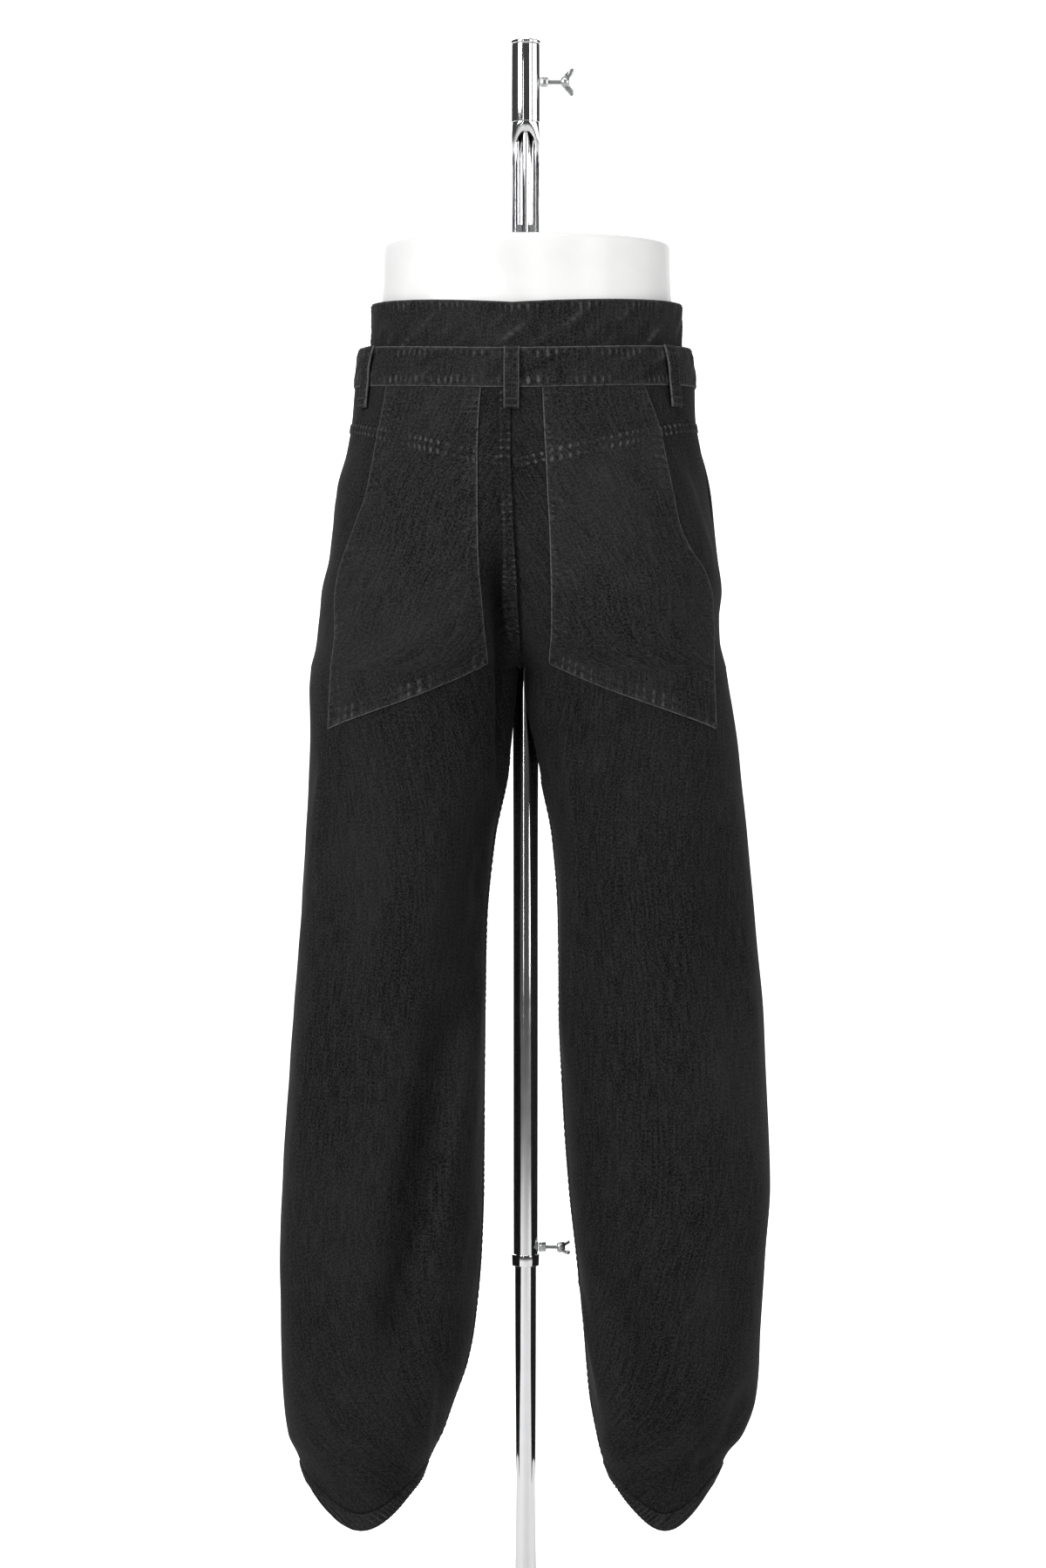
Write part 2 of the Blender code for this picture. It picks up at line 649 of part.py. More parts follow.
def leg_panels_and_yokes():
    for name, side in SIDES:
        cloth_wall(f"yoke_{name}", side, yoke_rows(side), (0.0, -CLOTH))
        cloth_wall(f"back_{name}", side, back_rows(side), (0.0, -CLOTH))
        cloth_wall(f"front_{name}", side, front_rows(side), (0.0, -CLOTH), bulge=front_gape(side))


def facings():
    """The cloth in the front pockets' openings: level with the side seam, then under the front panel."""
    top, foot = BAND_SEAM_SIDE - 0.001, FRONT_POCKET_FOOT - 0.012

    def sink(column, u, height):
        away = (SIDE_SEAM - u) * body_oval(LEFT, height).length()
        return -FACING_DEPTH * (ramp(away / 0.012) if height > FRONT_POCKET_FOOT + 0.03 else 1.0)

    for name, side in SIDES:
        rows = []
        for k in range(7):
            height = top + (foot - top) * k / 6
            near = slant(side, height) - FACING_UNDERLAP / body_oval(side, height).length()
            far = SIDE_SEAM - inset(side, height)
            rows.append([(near + (far - near) * c / 5, height) for c in range(6)])
        cloth_wall(f"pocket_facing_{name}", side, rows, (0.0, -CLOTH), INSIDE, sink)


PATCH_OUTS = (SEAM_GAP + PATCH, SEAM_GAP)
PATCH_TOP_INSET = 0.0004  # keeps a patch clear of the band above it


def back_pockets():
    """Patches on the back's own points, sewn down all round but for the curved outer edge."""
    first, last = BACK_COLUMNS[0], BACK_COLUMNS[0] + BACK_COLUMNS[1]
    foot = BACK_LEVELS.index(POCKET_FOOT_LEVEL)

    def gape(column, u, height):
        up = (height - POCKET_OPENING_FOOT) / (BAND_SEAM_SIDE - POCKET_OPENING_FOOT)
        return POCKET_GAPE * ramp(1 - column / 2.5) * math.sin(math.pi * min(max(up, 0.0), 1.0)) ** 2

    for name, side in SIDES:
        rows = [row[first:last + 1] for row in yoke_rows(side) + back_rows(side)[1:foot + 1]]
        top = [(u, height - PATCH_TOP_INSET) for u, height in rows[0]]
        cloth_wall(f"back_pocket_{name}", side, [top] + rows[1:], PATCH_OUTS, bulge=gape)


def fly_placket():
    """The topstitched flap over the zip, on the wearer's left, with a round lower corner."""
    foot = PANEL_LEVELS.index(FLY_FOOT)
    rows = [row[:FRONT_COLUMNS[0] + 1] for row in front_rows(LEFT)[:foot + 1]]
    top = [(u, height - PATCH_TOP_INSET) for u, height in rows[0]]
    cloth_wall("fly_placket", LEFT, [top] + rows[1:], PATCH_OUTS)


def hems():
    for name, side in SIDES:
        shares = front_shares(side, HEM_SIDE)[:-1] + back_shares(side, HEM_SIDE)[:-1]
        rows = [[(u, hem_top(u) - SEAM_GAP / 2 - (HEM_HEIGHT - SEAM_GAP / 2) * down) for u in shares]
                for down in (0.0, 0.5, 1.0)]
        cloth_wall(f"hem_{name}", side, rows, (HEM_PROUD, HEM_PROUD - HEM), closed=True)


def ring_path(count):
    """(side, share) steps once round the waist, from the centre front over the left side."""
    half = count // 2
    left = [(LEFT, k / half) for k in range(half + 1)]
    return left + [(RIGHT, 1 - k / half) for k in range(1, half + 1)]


LAP_SHARES = (0.075, 0.040)  # the left end laps over the right front, as far as this
LIFT_SHARE = 0.09  # the share of the left front in which the lower band's end rises over the right end
SINK_SHARES = (0.16, 0.08)  # where the upper band's right end starts to sink, and the share it takes
BAND_STEPS = 56


def band(name, point, levels, outs, lap_outwards):
    """A waistband: a strip once round, whose left end laps over its right end at the centre front."""
    step = outs[0] - outs[1] + SEAM_GAP

    def lift(side, u, lapped):
        if lap_outwards:
            return step if lapped else step * ramp(1 - u / LIFT_SHARE) * (side == LEFT)
        start, taken = SINK_SHARES
        return -step * ramp((start - u) / taken) * (side == RIGHT and not lapped)

    path = [(RIGHT, u, True) for u in LAP_SHARES] + [(side, u, False) for side, u in ring_path(BAND_STEPS)]
    path[-1] = (RIGHT, inset(RIGHT, BAND_SEAM_BACK), False)
    grids = [[], []]
    for level in levels:
        pair = [[], []]
        for side, u, lapped in path:
            for row, out in zip(pair, outs):
                row.append(offset_point(point, side, u, level(u), out + lift(side, u, lapped)))
        for grid, row in zip(grids, pair):
            grid.append(row)
    return wall(name, *grids, BLACK)


def waistbands():
    lower = [lambda u, share=share: band_seam(u) + SEAM_GAP / 2 + LOWER_BAND_HEIGHT * share
             for share in (1.0, 0.5, 0.0)]
    band("waistband_lower", body_point, lower, (BAND_PROUD, BAND_PROUD - BAND), True)
    upper = oval_of(UPPER_BAND, CENTRE_X)

    def upper_point(side, u, height):
        x, y = upper(side, height).point(u)
        return Vector((x, y, height))

    def upper_top(u):
        away = min((1 - u) / (1 - SIDE_SEAM), 1.0)
        swing = math.sin(away * math.pi / 2)
        return UPPER_BAND_TOP_BACK + (UPPER_BAND_TOP_SIDE - UPPER_BAND_TOP_BACK) * swing

    lines = (*UPPER_BAND_BENDS, UPPER_BAND_FOOT)
    levels = [upper_top] + [lambda u, height=height: height for height in lines]
    band("waistband_upper", upper_point, levels, (0.0, -UPPER_BAND_CLOTH), False)


def belt_loops():
    """Each loop is a strip that lies on the lower band and is sewn down above and below it."""
    for name, at_top, at_foot in LOOP_PLACES:
        side = LEFT if at_top >= 0 else RIGHT
        raised = band_seam(share_from_back(side, BAND_SEAM_BACK, abs(at_top))) - BAND_SEAM_BACK
        grids = [[], []]
        for height, stand in LOOP_STANDS:
            down = (LOOP_STANDS[0][0] - height) / (LOOP_STANDS[0][0] - LOOP_FOOT)
            pair = [[], []]
            for step in (-0.5, 0.0, 0.5):
                place = at_top + (at_foot - at_top) * down + LOOP_WIDTH * step
                way = LEFT if place >= 0 else RIGHT
                u = share_from_back(way, height + raised, abs(place))
                for row, out in zip(pair, (stand + LOOP_THICKNESS, stand)):
                    row.append(skin(way, u, height + raised, out))
            for grid, row in zip(grids, pair):
                grid.append(row)
        wall(f"belt_loop_{name}", *grids, BLACK)


def buttons():
    """A shank button at the centre front of each band: a domed head on the lapped end."""
    profile = (
        (0.0030, 0.0), (0.0034, 0.0012), (0.0078, 0.0016), (0.0085, 0.0024),
        (0.0080, 0.0034), (0.0050, 0.0040), (0.0012, 0.0042),
    )
    bands = (
        ("lower", body_oval, LOWER_BUTTON_HEIGHT, BAND_PROUD + BAND + 2 * SEAM_GAP),
        ("upper", oval_of(UPPER_BAND, CENTRE_X), UPPER_BUTTON_HEIGHT, 2 * SEAM_GAP),
    )
    for name, oval, height, out in bands:
        x, y = oval(RIGHT, height).point(BUTTON_SHARE, out)
        place = Matrix.Translation((x, y, height)) @ Matrix.Rotation(math.pi / 2, 4, "X")
        turned(f"button_{name}", profile, ("button_metal", METAL_BUTTON), 18, place=place)


# The form and its stand

CHROMED = ("chrome_tube", CHROME)
PLATED = ("zinc_plate", ZINC)


def hip_form():
    """A smooth hip block, open below for its pole."""
    oval = oval_of(FORM, 0.0)
    levels = [(FORM_TOP, 0.0050), (FORM_TOP - 0.0012, 0.0016), (FORM_TOP - 0.0050, 0.0)]
    lower = (1.270, 1.220, 1.170, 1.120, 1.060, 1.025, 1.000, 0.982, 0.968, 0.959)
    levels += [(height, 0.0) for height in lower]
    rings = []
    for height, inwards in levels:
        ring = [oval(LEFT, height).point(k / 17, -inwards) for k in range(17)]
        ring += [oval(RIGHT, height).point(1 - k / 17, -inwards) for k in range(17)]
        rings.append([Vector((x, y, height)) for x, y in ring])
    form = stacked("hip_form", rings, ("form_white", WHITE_FORM))
    radius = OUTER_POLE + SEAM_GAP
    cut(form, turned("form_socket_cutter", ((radius, CROTCH), (radius, OUTER_POLE_TOP + SEAM_GAP)), PLATED))


def base_and_inner_pole():
    socket = INNER_POLE + SEAM_GAP
    plate = (
        (BASE_RADIUS - 0.003, 0.0), (BASE_RADIUS, 0.003), (BASE_RADIUS, 0.007), (BASE_RADIUS - 0.004, 0.010),
        (0.045, 0.0135), (0.026, 0.016), (0.0195, 0.022), (0.0185, 0.042), (0.0165, 0.045),
        (socket, 0.045), (socket, 0.004), (0.0015, 0.004),
    )
    turned("base_plate", plate, CHROMED, 40)
    turned("pole_inner", ((INNER_POLE, 0.004 + SEAM_GAP), (INNER_POLE, INNER_POLE_TOP)), CHROMED)


def outer_pole():
    turned("pole_outer", (
        (OUTER_POLE, COLLAR_FOOT), (OUTER_POLE, OUTER_POLE_TOP),
        (OUTER_POLE_BORE, OUTER_POLE_TOP), (OUTER_POLE_BORE, COLLAR_FOOT),
    ), CHROMED, loop=True)
    turned("pole_collar", (
        (COLLAR, COLLAR_FOOT), (COLLAR, COLLAR_TOP - BEVEL), (COLLAR - BEVEL, COLLAR_TOP),
        (OUTER_POLE + SEAM_GAP, COLLAR_TOP), (OUTER_POLE + SEAM_GAP, COLLAR_FOOT),
    ), CHROMED, loop=True)


WING_OUTLINE = (  # from the screw's axis, and along it from the hub's start
    (0.0020, 0.0015), (0.0058, 0.0022), (0.0090, 0.0058), (0.0125, 0.0085),
    (0.0124, 0.0112), (0.0088, 0.0122), (0.0050, 0.0092), (0.0015, 0.0065),
)
WING_HALF = 0.0009  # half the thickness of a wing


def clamp_screw(name, height, radius, hub, wings_turned, shank):
    """A threaded boss on the tube's right side, and the wing screw in it."""
    away = Matrix.Translation((0, 0, height)) @ Matrix.Rotation(-math.pi / 2, 4, "Y")
    start = radius + SEAM_GAP
    boss = turned(f"clamp_boss_{name}", ((0.0046, start), (0.0046, start + 0.0068)), PLATED, 6, place=away)
    hole = ((shank + SEAM_GAP, start + 0.001), (shank + SEAM_GAP, start + 0.02))
    cut(boss, turned(f"boss_cutter_{name}", hole, PLATED, 16, place=away))
    hub_start, hub_end = start + hub, start + hub + 0.0078
    outline = (
        (shank, start + 0.0015), (shank, hub_start), (0.0040, hub_start),
        (0.0052, hub_start + 0.002), (0.0048, hub_end - 0.001), (0.0030, hub_end),
    )
    screw = turned(f"wing_screw_{name}", outline, PLATED, 16, place=away)
    for way in (1, -1):
        rings = [[Vector((face, way * r, hub_start + z)) for r, z in WING_OUTLINE]
                 for face in (-WING_HALF, WING_HALF)]
        wing = stacked(f"wing_{name}_{'up' if way > 0 else 'down'}", rings, PLATED)
        wing.data.transform(away @ Matrix.Rotation(math.radians(wings_turned), 4, "Z"))
        joined(screw, wing)


def post():
    """The tube that stands on the form, scooped open at the back, its rod and clip, and the sleeve."""
    foot, top = FORM_TOP + SEAM_GAP, SLEEVE_FOOT - SEAM_GAP
    section = ((POST, foot), (POST, top), (POST_BORE, top), (POST_BORE, foot))
    tube = turned("post_tube", section, CHROMED, loop=True)
    arch = [(SCOOP_WIDTH * math.sin(turn) ** 0.8, SCOOP_TOP - SCOOP_HEIGHT * (1 - math.cos(turn)))
            for turn in (math.pi / 2 * k / 8 for k in range(8, 0, -1))]
    arch = [(SCOOP_WIDTH, foot - 0.01)] + arch
    outline = arch + [(0.0, SCOOP_TOP)] + [(-x, z) for x, z in reversed(arch)]
    slices = [[Vector((x, y, z)) for x, z in outline] for y in (0.0007, 0.03)]
    cut(tube, stacked("scoop_cutter", slices, PLATED))
    rod_at = Matrix.Translation((0.0, ROD_Y, 0.0))
    rod = ((ROD - 0.001, foot + 0.003), (ROD, foot + 0.005), (ROD, top))
    turned("post_rod", rod, CHROMED, 14, place=rod_at)
    cheek, slot, back, lip = 0.0085, ROD + SEAM_GAP, ROD + 0.003, ROD - 0.0005
    channel = (
        (-cheek, -back), (cheek, -back), (cheek, lip), (slot, lip),
        (slot, -slot), (-slot, -slot), (-slot, lip), (-cheek, lip),
    )
    clip = [[Vector((x, y, height)) for x, y in channel] for height in (foot, foot + CLIP_HEIGHT)]
    stacked("rod_clip", clip, PLATED).data.transform(rod_at)
    turned("post_sleeve", ((SLEEVE, SLEEVE_FOOT), (SLEEVE, SLEEVE_TOP)), CHROMED)
    turned("post_cap", (
        (CAP - 0.0002, SLEEVE_TOP + SEAM_GAP), (CAP, SLEEVE_TOP + 0.0010),
        (CAP, SLEEVE_TOP + CAP_HEIGHT - 0.0012), (CAP - 0.0014, SLEEVE_TOP + CAP_HEIGHT),
    ), CHROMED)


def main():
    for old in list(bpy.data.objects):
        bpy.data.objects.remove(old)
    leg_panels_and_yokes()
    facings()
    back_pockets()
    fly_placket()
    hems()
    waistbands()
    belt_loops()
    buttons()
    hip_form()
    base_and_inner_pole()
    outer_pole()
    post()
    clamp_screw("low", LOW_SCREW_HEIGHT, OUTER_POLE, 0.0165, 20.0, 0.0019)
    clamp_screw("top", TOP_SCREW_HEIGHT, SLEEVE, 0.0185, 90.0, 0.0024)


main()
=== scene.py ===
"""Looks of the jeans on their stand: cloth shells on the solids' own skin, sewing, finishes and the set.

Metres, +Z up. The jeans face -Y and +X is the wearer's left. The photo shows their back.
A place on the cloth is a side, a share u of the way round it and a height, as in the CAD source.
"""

import math

import bmesh
import bpy
import numpy as np
from mathutils import Matrix, Vector


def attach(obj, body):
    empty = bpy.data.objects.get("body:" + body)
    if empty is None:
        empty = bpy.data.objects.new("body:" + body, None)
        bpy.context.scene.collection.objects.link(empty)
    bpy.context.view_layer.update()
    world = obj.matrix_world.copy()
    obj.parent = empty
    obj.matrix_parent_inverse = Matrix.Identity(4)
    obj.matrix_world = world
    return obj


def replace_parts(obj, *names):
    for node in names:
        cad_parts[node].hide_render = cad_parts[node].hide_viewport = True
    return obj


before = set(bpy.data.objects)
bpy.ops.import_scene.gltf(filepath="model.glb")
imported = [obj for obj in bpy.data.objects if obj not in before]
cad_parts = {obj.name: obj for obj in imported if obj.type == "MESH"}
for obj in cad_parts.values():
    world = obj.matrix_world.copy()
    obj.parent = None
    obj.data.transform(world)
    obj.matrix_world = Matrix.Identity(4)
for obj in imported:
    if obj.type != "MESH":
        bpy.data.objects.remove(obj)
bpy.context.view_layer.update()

LEFT, RIGHT = 1, -1
SIDES = (("left", LEFT), ("right", RIGHT))

# Sizes that the CAD source gives, repeated here

SEAM_GAP = 0.0003
CLOTH = 0.0016
PATCH = 0.0012
BAND = 0.0028
BAND_PROUD = 0.0013
UPPER_BAND_CLOTH = 0.0024
HEM = 0.0030
HEM_HEIGHT = 0.016
HEM_PROUD = 0.0009
CENTRE_X = 0.0044
SIDE_SEAM = 0.51
CROTCH = 0.932
POLE_ROOM = 0.0165
POLE_ROOM_DEPTH = 0.030
BAND_SEAM_BACK = 1.182
BAND_SEAM_SIDE = 1.190
LOWER_BAND_HEIGHT = 0.0355
UPPER_BAND_TOP_BACK = 1.2586
UPPER_BAND_TOP_SIDE = 1.2662
UPPER_BAND_FOOT = 1.201
YOKE_BACK = 1.119
YOKE_SIDE = 1.158
HEM_SIDE = 0.196
HEM_DROP_BACK = 0.036
HEM_DROP_FRONT = 0.030

HIP_COLUMNS = ("height", "share", "out_left", "out_right", "front", "back", "turn")
HIPS = (
    (1.240, 0.03, 0.1490, 0.1480, 0.1010, 0.1030, 4.4),
    (1.207, 0.03, 0.1545, 0.1535, 0.1030, 0.1050, 4.4),
    (1.190, 0.03, 0.1562, 0.1552, 0.1050, 0.1060, 4.4),
    (1.164, 0.06, 0.1584, 0.1560, 0.1080, 0.1080, 4.4),
    (1.132, 0.10, 0.1636, 0.1608, 0.1120, 0.1110, 4.4),
    (1.100, 0.15, 0.1725, 0.1662, 0.1150, 0.1145, 4.0),
    (1.068, 0.20, 0.1760, 0.1706, 0.1165, 0.1180, 3.2),
    (1.036, 0.26, 0.1796, 0.1752, 0.1160, 0.1212, 2.4),
    (1.004, 0.335, 0.1862, 0.1792, 0.1130, 0.1225, 1.6),
    (0.980, 0.40, 0.1885, 0.1768, 0.1100, 0.1210, 1.2),
    (0.960, 0.442, 0.1905, 0.1775, 0.1070, 0.1182, 0.8),
    (0.945, 0.476, 0.1935, 0.1805, 0.1055, 0.1160, 0.4),
    (0.937, 0.492, 0.1955, 0.1825, 0.1045, 0.1148, 0.2),
    (CROTCH, 0.50, 0.1964, 0.1836, 0.1040, 0.1140, 0.0),
)
LEG_COLUMNS = ("height", "in_left", "out_left", "in_right", "out_right", "front", "back")
LEGS = (
    (CROTCH, CENTRE_X + 0.0002, 0.1964, 0.0002 - CENTRE_X, 0.1836, 0.1040, 0.1140),
    (0.915, 0.0065, 0.1974, -0.0042, 0.1862, 0.1025, 0.1112),
    (0.895, 0.0094, 0.1970, -0.0020, 0.1896, 0.1005, 0.1078),
    (0.860, 0.0125, 0.1975, 0.0075, 0.1948, 0.0985, 0.1032),
    (0.828, 0.0176, 0.1985, 0.0150, 0.1978, 0.0972, 0.1002),
    (0.780, 0.0278, 0.2014, 0.0246, 0.2030, 0.0958, 0.0972),
    (0.700, 0.0358, 0.2058, 0.0304, 0.2104, 0.0948, 0.0938),
    (0.620, 0.0376, 0.2126, 0.0312, 0.2176, 0.0948, 0.0918),
    (0.540, 0.0382, 0.2180, 0.0344, 0.2212, 0.0948, 0.0908),
    (0.460, 0.0386, 0.2232, 0.0400, 0.2238, 0.0942, 0.0900),
    (0.396, 0.0410, 0.2248, 0.0470, 0.2192, 0.0932, 0.0892),
    (0.332, 0.0472, 0.2242, 0.0536, 0.2154, 0.0900, 0.0876),
    (0.300, 0.0536, 0.2232, 0.0560, 0.2140, 0.0865, 0.0862),
    (0.268, 0.0650, 0.2214, 0.0592, 0.2104, 0.0808, 0.0840),
    (0.236, 0.0768, 0.2172, 0.0652, 0.1990, 0.0728, 0.0795),
    (0.220, 0.0850, 0.2095, 0.0690, 0.1850, 0.0685, 0.0765),
    (0.204, 0.0918, 0.2032, 0.0742, 0.1768, 0.0640, 0.0730),
    (0.190, 0.0962, 0.1985, 0.0795, 0.1705, 0.0600, 0.0698),
    (0.155, 0.1020, 0.1925, 0.0865, 0.1635, 0.0545, 0.0640),
)
FOLDS = (  # side, top, foot, share at the top, share at the foot, half width, depth
    (LEFT, 0.720, 0.235, 0.880, 0.740, 0.026, -0.0075),
    (LEFT, 0.700, 0.280, 0.945, 0.850, 0.024, 0.0050),
    (LEFT, 0.860, 0.640, 0.930, 0.860, 0.030, -0.0060),
    (LEFT, 0.560, 0.240, 0.200, 0.300, 0.030, -0.0060),
    (RIGHT, 0.840, 0.560, 0.640, 0.655, 0.024, -0.0050),
    (RIGHT, 0.780, 0.560, 0.925, 0.955, 0.018, 0.0045),
    (RIGHT, 0.420, 0.210, 0.940, 0.830, 0.020, 0.0050),
    (RIGHT, 0.420, 0.210, 0.865, 0.775, 0.022, -0.0045),
    (RIGHT, 0.300, 0.190, 0.600, 0.640, 0.018, -0.0055),
    (RIGHT, 0.560, 0.240, 0.220, 0.310, 0.030, -0.0060),
)
POCKET_COLUMNS = ("height", "inner_left", "outer_left", "inner_right", "outer_right")
POCKET = (
    (1.185, 0.0392, 0.1240, 0.0145, 0.1060),
    (1.150, 0.0418, 0.1295, 0.0160, 0.1180),
    (1.117, 0.0425, 0.1345, 0.0178, 0.1240),
    (1.090, 0.0425, 0.1398, 0.0190, 0.1293),
    (1.064, 0.0423, 0.1500, 0.0205, 0.1358),
    (1.040, 0.0418, 0.1600, 0.0215, 0.1475),
    (1.020, 0.0408, 0.1672, 0.0222, 0.1605),
    (0.996, 0.0383, 0.1705, 0.0228, 0.1678),
    (0.966, 0.0363, 0.1700, 0.0231, 0.1686),
    (0.9385, 0.0342, 0.1730, 0.0216, 0.1686),
    (0.879, 0.0342, 0.1765, 0.0216, 0.1700),
)
POCKET_FOOT_INNER = 0.9385
POCKET_FOOT_OUTER = 0.8790
POCKET_OPENING_FOOT = 1.020
POCKET_GAPE = 0.0030
FRONT_POCKET_FOOT = 1.030
FRONT_POCKET_WIDTH = 0.052
FRONT_POCKET_GAPE = 0.0040
GAPE_WIDTH = 0.035
FACING_UNDERLAP = 0.018
FACING_DEPTH = 0.0038
FLY_WIDTH = 0.038
FLY_CORNER = 0.040
FLY_FOOT_SHARE = 0.4
FLY_FOOT = 1.026
LOOP_WIDTH = 0.0135
LOOP_THICKNESS = 0.0020
LOOP_FOOT = 1.1625
LOOP_PLACES = (  # top's and foot's distance from the centre back along the cloth, minus to the right
    ("back", 0.0, 0.0), ("back_left", 0.1440, 0.1530), ("back_right", -0.1515, -0.1605),
    ("front_left", 0.315, 0.317), ("front_right", -0.315, -0.318),
)
LOOP_STANDS = (
    (BAND_SEAM_BACK + LOWER_BAND_HEIGHT + 0.0010, 0.0021),
    (BAND_SEAM_BACK + LOWER_BAND_HEIGHT - 0.0070, 0.0034),
    (BAND_SEAM_BACK + 0.0180, 0.0042),
    (BAND_SEAM_BACK + 0.0040, 0.0032),
    (BAND_SEAM_BACK - 0.0060, 0.0030),
    (LOOP_FOOT, 0.0026),
)
LOWER_BUTTON_HEIGHT = 1.208
UPPER_BUTTON_HEIGHT = 1.241
BUTTON_SHARE = 0.03
FORM = (
    (1.330, 0.0, 0.1318, 0.1318, 0.0880, 0.0930, 0.0),
    (1.290, 0.0, 0.1325, 0.1325, 0.0890, 0.0940, 0.0),
    (1.258, 0.0, 0.1342, 0.1342, 0.0900, 0.0955, 0.0),
    (1.220, 0.0, 0.1372, 0.1372, 0.0908, 0.0955, 0.0),
    (1.180, 0.0, 0.1420, 0.1420, 0.0922, 0.0980, 0.0),
    (1.120, 0.0, 0.1500, 0.1500, 0.0990, 0.1030, 0.0),
    (1.060, 0.0, 0.1560, 0.1560, 0.1035, 0.1050, 0.0),
    (1.020, 0.0, 0.1560, 0.1560, 0.0960, 0.1000, 0.0),
    (0.995, 0.0, 0.1460, 0.1460, 0.0850, 0.0900, 0.0),
    (0.975, 0.0, 0.1240, 0.1240, 0.0700, 0.0750, 0.0),
    (0.963, 0.0, 0.0950, 0.0950, 0.0520, 0.0560, 0.0),
    (0.957, 0.0, 0.0600, 0.0600, 0.0320, 0.0340, 0.0),
)
UPPER_BAND = (
    (1.270, 0.0, 0.1418, 0.1438, 0.0985, 0.0987, 4.4),
    (1.240, 0.0, 0.1412, 0.1434, 0.0985, 0.0987, 4.4),
    (1.222, 0.0, 0.1412, 0.1430, 0.0990, 0.0992, 4.4),
    (1.210, 0.0, 0.1460, 0.1455, 0.0995, 0.1008, 4.4),
    (1.201, 0.0, 0.1529, 0.1519, 0.1006, 0.1024, 4.4),
)
FORM_TOP = 1.322
FORM_RIM = (  # how far down from the top, how far inwards
    (0.0, 0.0070), (0.0002, 0.0040), (0.0012, 0.0016), (0.0030, 0.0004), (0.0055, 0.0),
)
BASE_RADIUS = 0.160
OUTER_POLE = 0.0116
OUTER_POLE_BORE = 0.0106
INNER_POLE = 0.0103
OUTER_POLE_TOP = 1.050
INNER_POLE_TOP = 0.700
COLLAR = 0.0131
COLLAR_FOOT = 0.388
COLLAR_TOP = 0.3985
BEVEL = 0.0006
LOW_SCREW_HEIGHT = 0.4044
POST = 0.0126
POST_BORE = 0.0116
SCOOP_TOP = 1.4250
SCOOP_HEIGHT = 0.055
SCOOP_WIDTH = 0.0138
ROD = 0.0031
ROD_Y = 0.0060
CLIP_HEIGHT = 0.0175
SLEEVE = 0.0135
SLEEVE_FOOT = 1.4340
SLEEVE_TOP = 1.5054
CAP = 0.0141
CAP_HEIGHT = 0.0036
TOP_SCREW_HEIGHT = 1.4714

# Creases beyond the CAD's largest folds. The back ones are placed by their distance from the stand's axis.
BACK_CREASES = (  # side, three heights from the top, three distances to the side, half width, depth
    (RIGHT, (1.135, 1.075, 1.005), (0.1290, 0.1540, 0.1725), 0.011, 0.0030),
    (RIGHT, (1.100, 1.040, 0.985), (0.1090, 0.1330, 0.1500), 0.016, -0.0022),
    (LEFT, (1.090, 0.955, 0.800), (0.0270, 0.0180, 0.0230), 0.013, -0.0125),
    (LEFT, (1.120, 1.095, 1.060), (0.0350, 0.0270, 0.0190), 0.005, -0.0026),
    (LEFT, (0.800, 0.650, 0.560), (0.0340, 0.0480, 0.0830), 0.013, -0.0045),
    (LEFT, (0.600, 0.440, 0.280), (0.0780, 0.1020, 0.1400), 0.014, -0.0030),
    (LEFT, (0.620, 0.470, 0.330), (0.0520, 0.0720, 0.0990), 0.014, 0.0045),
    (LEFT, (0.880, 0.780, 0.680), (0.1790, 0.1905, 0.1970), 0.012, 0.0030),
    (RIGHT, (0.945, 0.860, 0.640), (0.0215, 0.0360, 0.0530), 0.005, 0.0024),
    (RIGHT, (0.700, 0.600, 0.480), (0.1700, 0.1735, 0.1700), 0.014, 0.0026),
    (RIGHT, (0.400, 0.320, 0.225), (0.0430, 0.0630, 0.0770), 0.010, 0.0040),
    (RIGHT, (0.300, 0.247, 0.195), (0.1480, 0.1610, 0.1570), 0.012, -0.0040),
    (LEFT, (0.330, 0.270, 0.210), (0.0870, 0.0880, 0.0900), 0.010, 0.0036),
    (LEFT, (0.940, 0.905, 0.870), (0.0900, 0.0700, 0.0450), 0.018, -0.0020),
    (RIGHT, (0.910, 0.880, 0.840), (0.1250, 0.0900, 0.0560), 0.018, -0.0022),
    (LEFT, (0.640, 0.590, 0.540), (0.1500, 0.1150, 0.0700), 0.022, 0.0024),
    (RIGHT, (0.600, 0.560, 0.520), (0.0600, 0.1000, 0.1400), 0.024, -0.0020),
)
